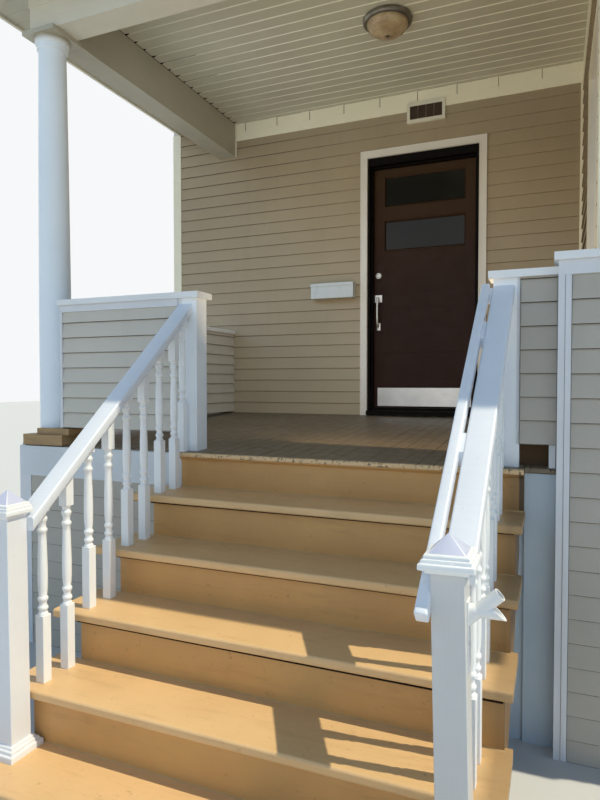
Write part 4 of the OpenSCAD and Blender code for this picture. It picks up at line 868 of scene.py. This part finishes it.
# Dark joints: open groove ends along the left beam, two open ceiling joints, the frieze's butt joints
joints = Form()
z = CEILING_Z
groove = GROOVE_1
while groove > CEILING_FRONT + 0.05:
    width = rng.uniform(0.028, 0.048)
    joints.bar([(LEFT_IN + 0.0005, groove - 0.01), (LEFT_IN + width, groove + 0.001),
        (LEFT_IN + 0.0005, groove + 0.016)], (z - 0.0008, z + 0.004), Z)
    groove -= STEP
joints.box((LEFT_IN + 0.0002, -0.37, z - 0.001), (LEFT_IN + 0.003, WALL_Y - 0.03, z + 0.001))
for k in (8, 11):
    y = GROOVE_1 - k * STEP
    joints.box((LEFT_IN, y - 0.0006, z - 0.0006), (-1.74, y + 0.0034, z + 0.003))
face, x = WALL_Y - 0.012, CORNER_X - 0.295
while x > LEFT_IN + 0.08:
    joints.box((x + 0.0002, face - 0.002, z - 0.075), (x + 0.0036, face + 0.001, z - 0.0005))
    x -= 0.3155
joints.piece("dark_joints", DARK_GAP)

# Darker filler along the joints between treads and risers, and under the deck's nose
STEPS_LEFT = -1.137
filler = Form()
for y, z, out, mid, mid_up, up, right in (
        [(NOSE_1 - k * GOING + 0.03, (4 - k) * RISE, 0.0035, 0.0035 * 0.4, 0.0035 * 0.45, 0.0035, 0.555)
        for k in range(5)] + [(-0.597, 5 * RISE, 0.006, 0.002, 0.003, 0.006, 0.575)]):
    filler.bar([(y - out, z), (y - mid, z + mid_up), (y + 0.0004, z + up), (y + 0.0004, z)], (STEPS_LEFT, right), X)
filler.piece("tread_fillers", FILLER, smooth=40)

# Dark strips of painted shade under three treads' noses, a dark board under the short wall, and grey lines of painted
# shade beside the boards that end the siding
a, b = STUB_LOW, STUB_HIGH
stub_top, tall_top, trim_y = b[2] - 0.004, TALL_HIGH[2] - 0.062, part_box("low_wall_trim")[0][1]
gaps = Form()
for k, left, right, kind in ((0, 0.003, 0.0008, 0), (1, 0.0006, 0.001, 1), (2, 0.0008, 0.0044, 0)):
    y, z = NOSE_1 - k * GOING, (5 - k) * RISE - TREAD_T
    gaps.prism([[(x, y + back, z + up) for back, up in (
        (0.0025, -drop), (0.026, -drop), (0.026, 0.001), (0.0025, 0.001))]
        for x, drop in ((-1.134, left), (0.552, right))], kind)
gaps.box((a[0] - 0.005, b[1] - 0.03, deck_z(b[1]) - 0.01),
    (b[0], b[1] - 0.002, a[2] + 0.004), 1)
for x0, x1, y, z0, z1 in (
        (a[0] + 0.0003, a[0] + 0.0022, a[1] - 0.0125, a[2], stub_top),
        (b[0] - 0.0022, b[0] - 0.0003, a[1] - 0.0125, a[2], stub_top),
        (0.75, 0.752, TALL_LOW[1] - 0.0124, 0.003, tall_top), (0.7258, 0.7272, trim_y - 0.0004, 0.003, tall_top)):
    gaps.box((x0, y, z0), (x1, y + 0.003, z1), 2)
gaps.piece("shadow_gaps", [DARK_GAP, BROWN_GAP, TRIM_SHADE])

# Channels that hold the siding of the right low walls, and a foot board
channels = Form()
channels.box((a[0] - 0.0125, a[1] - 0.0042, a[2]),
    (a[0] - 0.0012, a[1] - 0.0001, stub_top))
channels.box((b[0] - 0.03, a[1] + 0.001, deck_z(a[1]) + 0.001),
    (b[0] - 0.003, a[1] + 0.02, a[2] + 0.002))
channels.box((0.7275, trim_y - 0.0034, 0.002), (0.744, trim_y + 0.002, tall_top))
channels.piece("siding_channels", TRIM, bevel=0.0008)


# ---- roof and soffit
EAVE_X, EAVE_Y, EAVE_Z, PITCH = 2.668, -0.993, 4.078, math.tan(math.radians(18))
COURSE, SHINGLE, SHINGLE_T, ROOF_RUN, LEAST = 0.127, 0.305, 0.0065, 2.66, 0.02


def roof_point(side, u, s, lift):
    """Point on a roof plane: u along its eave, s up the plan, lift above the plane. Sides are front, left, right."""
    z = EAVE_Z + s * PITCH + lift
    if side == "front":
        return (u, EAVE_Y + s, z)
    return ((EAVE_X - s) * (1 if side == "right" else -1), u, z)


shingles = Form()
for side in ("front", "left", "right"):
    ahead = side == "front"
    s, row = 0.0, 0
    while s < ROOF_RUN:
        top = min(s + COURSE, ROOF_RUN + 0.006)
        u = (-EAVE_X if ahead else EAVE_Y) - (0.15 if row % 2 else 0.0)
        low_end = s - EAVE_X if ahead else EAVE_Y + s
        high_end = EAVE_X - s if ahead else WALL_Y
        while u < (EAVE_X if ahead else WALL_Y):
            a, b = max(u + 0.002, low_end), min(u + SHINGLE - 0.002, high_end)
            u += SHINGLE
            if b - a < LEAST:
                continue
            if ahead and b > CORNER_X and EAVE_Y + top > BAY_Y - 0.01:
                if EAVE_Y + s > BAY_Y - 0.03 or a > CORNER_X - 0.02:
                    if a > CORNER_X - 0.05:
                        continue
                    b = CORNER_X - 0.012
                else:
                    top = min(top, BAY_Y - 0.013 - EAVE_Y)
            if side == "right":
                if EAVE_X - s > CORNER_X + 0.012:
                    b = min(b, BAY_Y - 0.013)
                if b - a < LEAST:
                    continue
            cut = min(top - s, (b - a) / 2.2)
            a2 = a + (cut if a <= low_end + 0.001 else 0)
            b2 = b - (cut if ahead and b >= high_end - 0.001 else 0)
            shingles.prism([[roof_point(side, p, up, lift) for p, lift in ((c, 0), (d, 0), (d, thick), (c, thick))]
                for c, d, up, thick in ((a, b, s - 0.002, SHINGLE_T), (a2, b2, top, 0.0012))],
                rng.randrange(4))
        s += COURSE
        row += 1
CAP_HALF, CAP_LENGTH = 0.11, 0.145
for sx in (-1, 1):
    t = 0.02
    while t < 2.62 and not (sx > 0 and EAVE_Y + t > BAY_Y - 0.17):
        rings = []
        for tt, lift in ((t, 0.008), (t + CAP_LENGTH, 0.003)):
            x, y, z = sx * (EAVE_X - tt), EAVE_Y + tt, EAVE_Z + tt * PITCH + lift
            rings.append([(x - sx * CAP_HALF, y, z), (x, y, z + 0.004), (x, y + CAP_HALF, z),
                (x, y + CAP_HALF, z - 0.004), (x, y, z), (x - sx * CAP_HALF, y, z - 0.004)])
        shingles.prism(rings, rng.randrange(4))
        t += COURSE
shingles.piece("roof_shingles", SHINGLES)

# Grooved soffit panels under the eaves
SOFFIT_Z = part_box("soffit")[0][2]
OUT_X, OUT_Y, IN_X, IN_Y, PANEL = 2.648, -0.973, 2.218, -0.549, 0.1
soffit = Form()


def soffit_panels(at, end, ends, axis):
    """Panels with a bevelled edge, laid side by side from at to end, that run along an axis between its ends."""
    while at < end - 0.003:
        stop = min(at + PANEL, end)
        soffit.bar([(at, SOFFIT_Z + 0.012), (at, SOFFIT_Z + 0.005), (at + 0.005, SOFFIT_Z),
            (stop - 0.0004, SOFFIT_Z), (stop - 0.0004, SOFFIT_Z + 0.012)], ends, axis)
        at += PANEL


soffit_panels(-OUT_X, OUT_X, (OUT_Y, IN_Y), Y)
soffit_panels(IN_Y, WALL_Y, (-OUT_X, -IN_X), X)
soffit_panels(IN_Y, BAY_Y, (IN_X, OUT_X), X)
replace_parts(soffit.piece("soffit_panels", CEILING), "soffit")

# ---- stage, light and camera
FLOOR_HALF = 40.0
floor_mesh = bpy.data.meshes.new("studio_floor")
floor_mesh.from_pydata([(x * FLOOR_HALF, y * FLOOR_HALF, 0) for x, y in ((-1, -1), (1, -1), (1, 1), (-1, 1))],
    [], [(0, 1, 2, 3)])
floor_mesh.materials.append(Shader("floor_pale", (0.62, 0.62, 0.62), 0.85).material)
add_object("studio_floor", floor_mesh)

# The world lights the porch with a bright horizon and a dim sky; the camera and mirrors see a plain backdrop
world = bpy.data.worlds.new("studio_world")
bpy.context.scene.world = world
world.use_nodes = True
tree = world.node_tree
split = add_node(tree, "ShaderNodeSeparateXYZ", {0: add_node(tree, "ShaderNodeTexCoord", {}).outputs["Generated"]})
tint = add_node(tree, "ShaderNodeValToRGB", {0: split.outputs["Z"]})
low_tint, high_tint = tint.color_ramp.elements
low_tint.position, low_tint.color = 0.1, (0.245, 0.205, 0.15, 1)
high_tint.position, high_tint.color = 0.75, (0.03, 0.032, 0.045, 1)
tint.color_ramp.elements.new(0.35).color = (0.37, 0.61, 0.87, 1)
background = tree.nodes["Background"]
background.inputs["Strength"].default_value = 2.0
tree.links.new(tint.outputs[0], background.inputs["Color"])
seen = add_node(tree, "ShaderNodeBackground", {"Color": (0.93, 0.94, 0.95), "Strength": 1.0})
path = add_node(tree, "ShaderNodeLightPath", {})
direct = path.outputs["Is Camera Ray"]
for kind in ("Is Glossy Ray", "Is Transmission Ray"):
    direct = add_node(tree, "ShaderNodeMath", {0: direct, 1: path.outputs[kind]}, operation="MAXIMUM").outputs[0]
pick = add_node(tree, "ShaderNodeMixShader", {0: direct, 1: background.outputs[0], 2: seen.outputs[0]})
tree.links.new(pick.outputs[0], tree.nodes["World Output"].inputs["Surface"])


def add_light(name, kind, energy, color, turn, **settings):
    """Lamp that is turned by a quaternion."""
    data = bpy.data.lights.new(name, kind)
    for key, value in {"energy": energy, "color": color, **settings}.items():
        setattr(data, key, value)
    lamp = add_object(name, data)
    lamp.rotation_euler = turn.to_euler()
    return lamp


add_light("sun", "SUN", 3.45, (1.0, 0.915, 0.7), Vector((0.64, 0.062, 1.0)).to_track_quat("Z", "Y"),
    angle=math.radians(0.53))

# Two round soft lamps that neither the camera nor mirrors see: light thrown up by the steps, and from the left
for name, place, target, size, power, color in (
        ("step_glow", (-0.2, -0.35, 1.5), (0.0, 1.7, 3.2), 1.3, 17, (1.0, 0.77, 0.48)),
        ("wall_fill", (-1.3, -0.2, 2.7), (-1.8, 1.75, 2.5), 1.1, 5.5, (0.7, 0.85, 1.0))):
    turn = (Vector(target) - Vector(place)).to_track_quat("-Z", "Y")
    lamp = add_light(name, "AREA", power, color, turn, shape="DISK", size=size)
    lamp.location = place
    lamp.visible_camera = lamp.visible_glossy = False

cam_data = bpy.data.cameras.new("camera")
cam = add_object("camera", cam_data)
cam.location = (0.685, -3.346, 1.5653)
cam.rotation_euler = (math.radians(90 - 1.6134), 0, math.radians(22.5227))
cam_data.sensor_fit = "HORIZONTAL"
cam_data.sensor_width = 36
cam_data.lens = 36.6445
cam_data.clip_start = 0.05
bpy.context.scene.camera = cam
bpy.context.scene.view_settings.view_transform = "Standard"
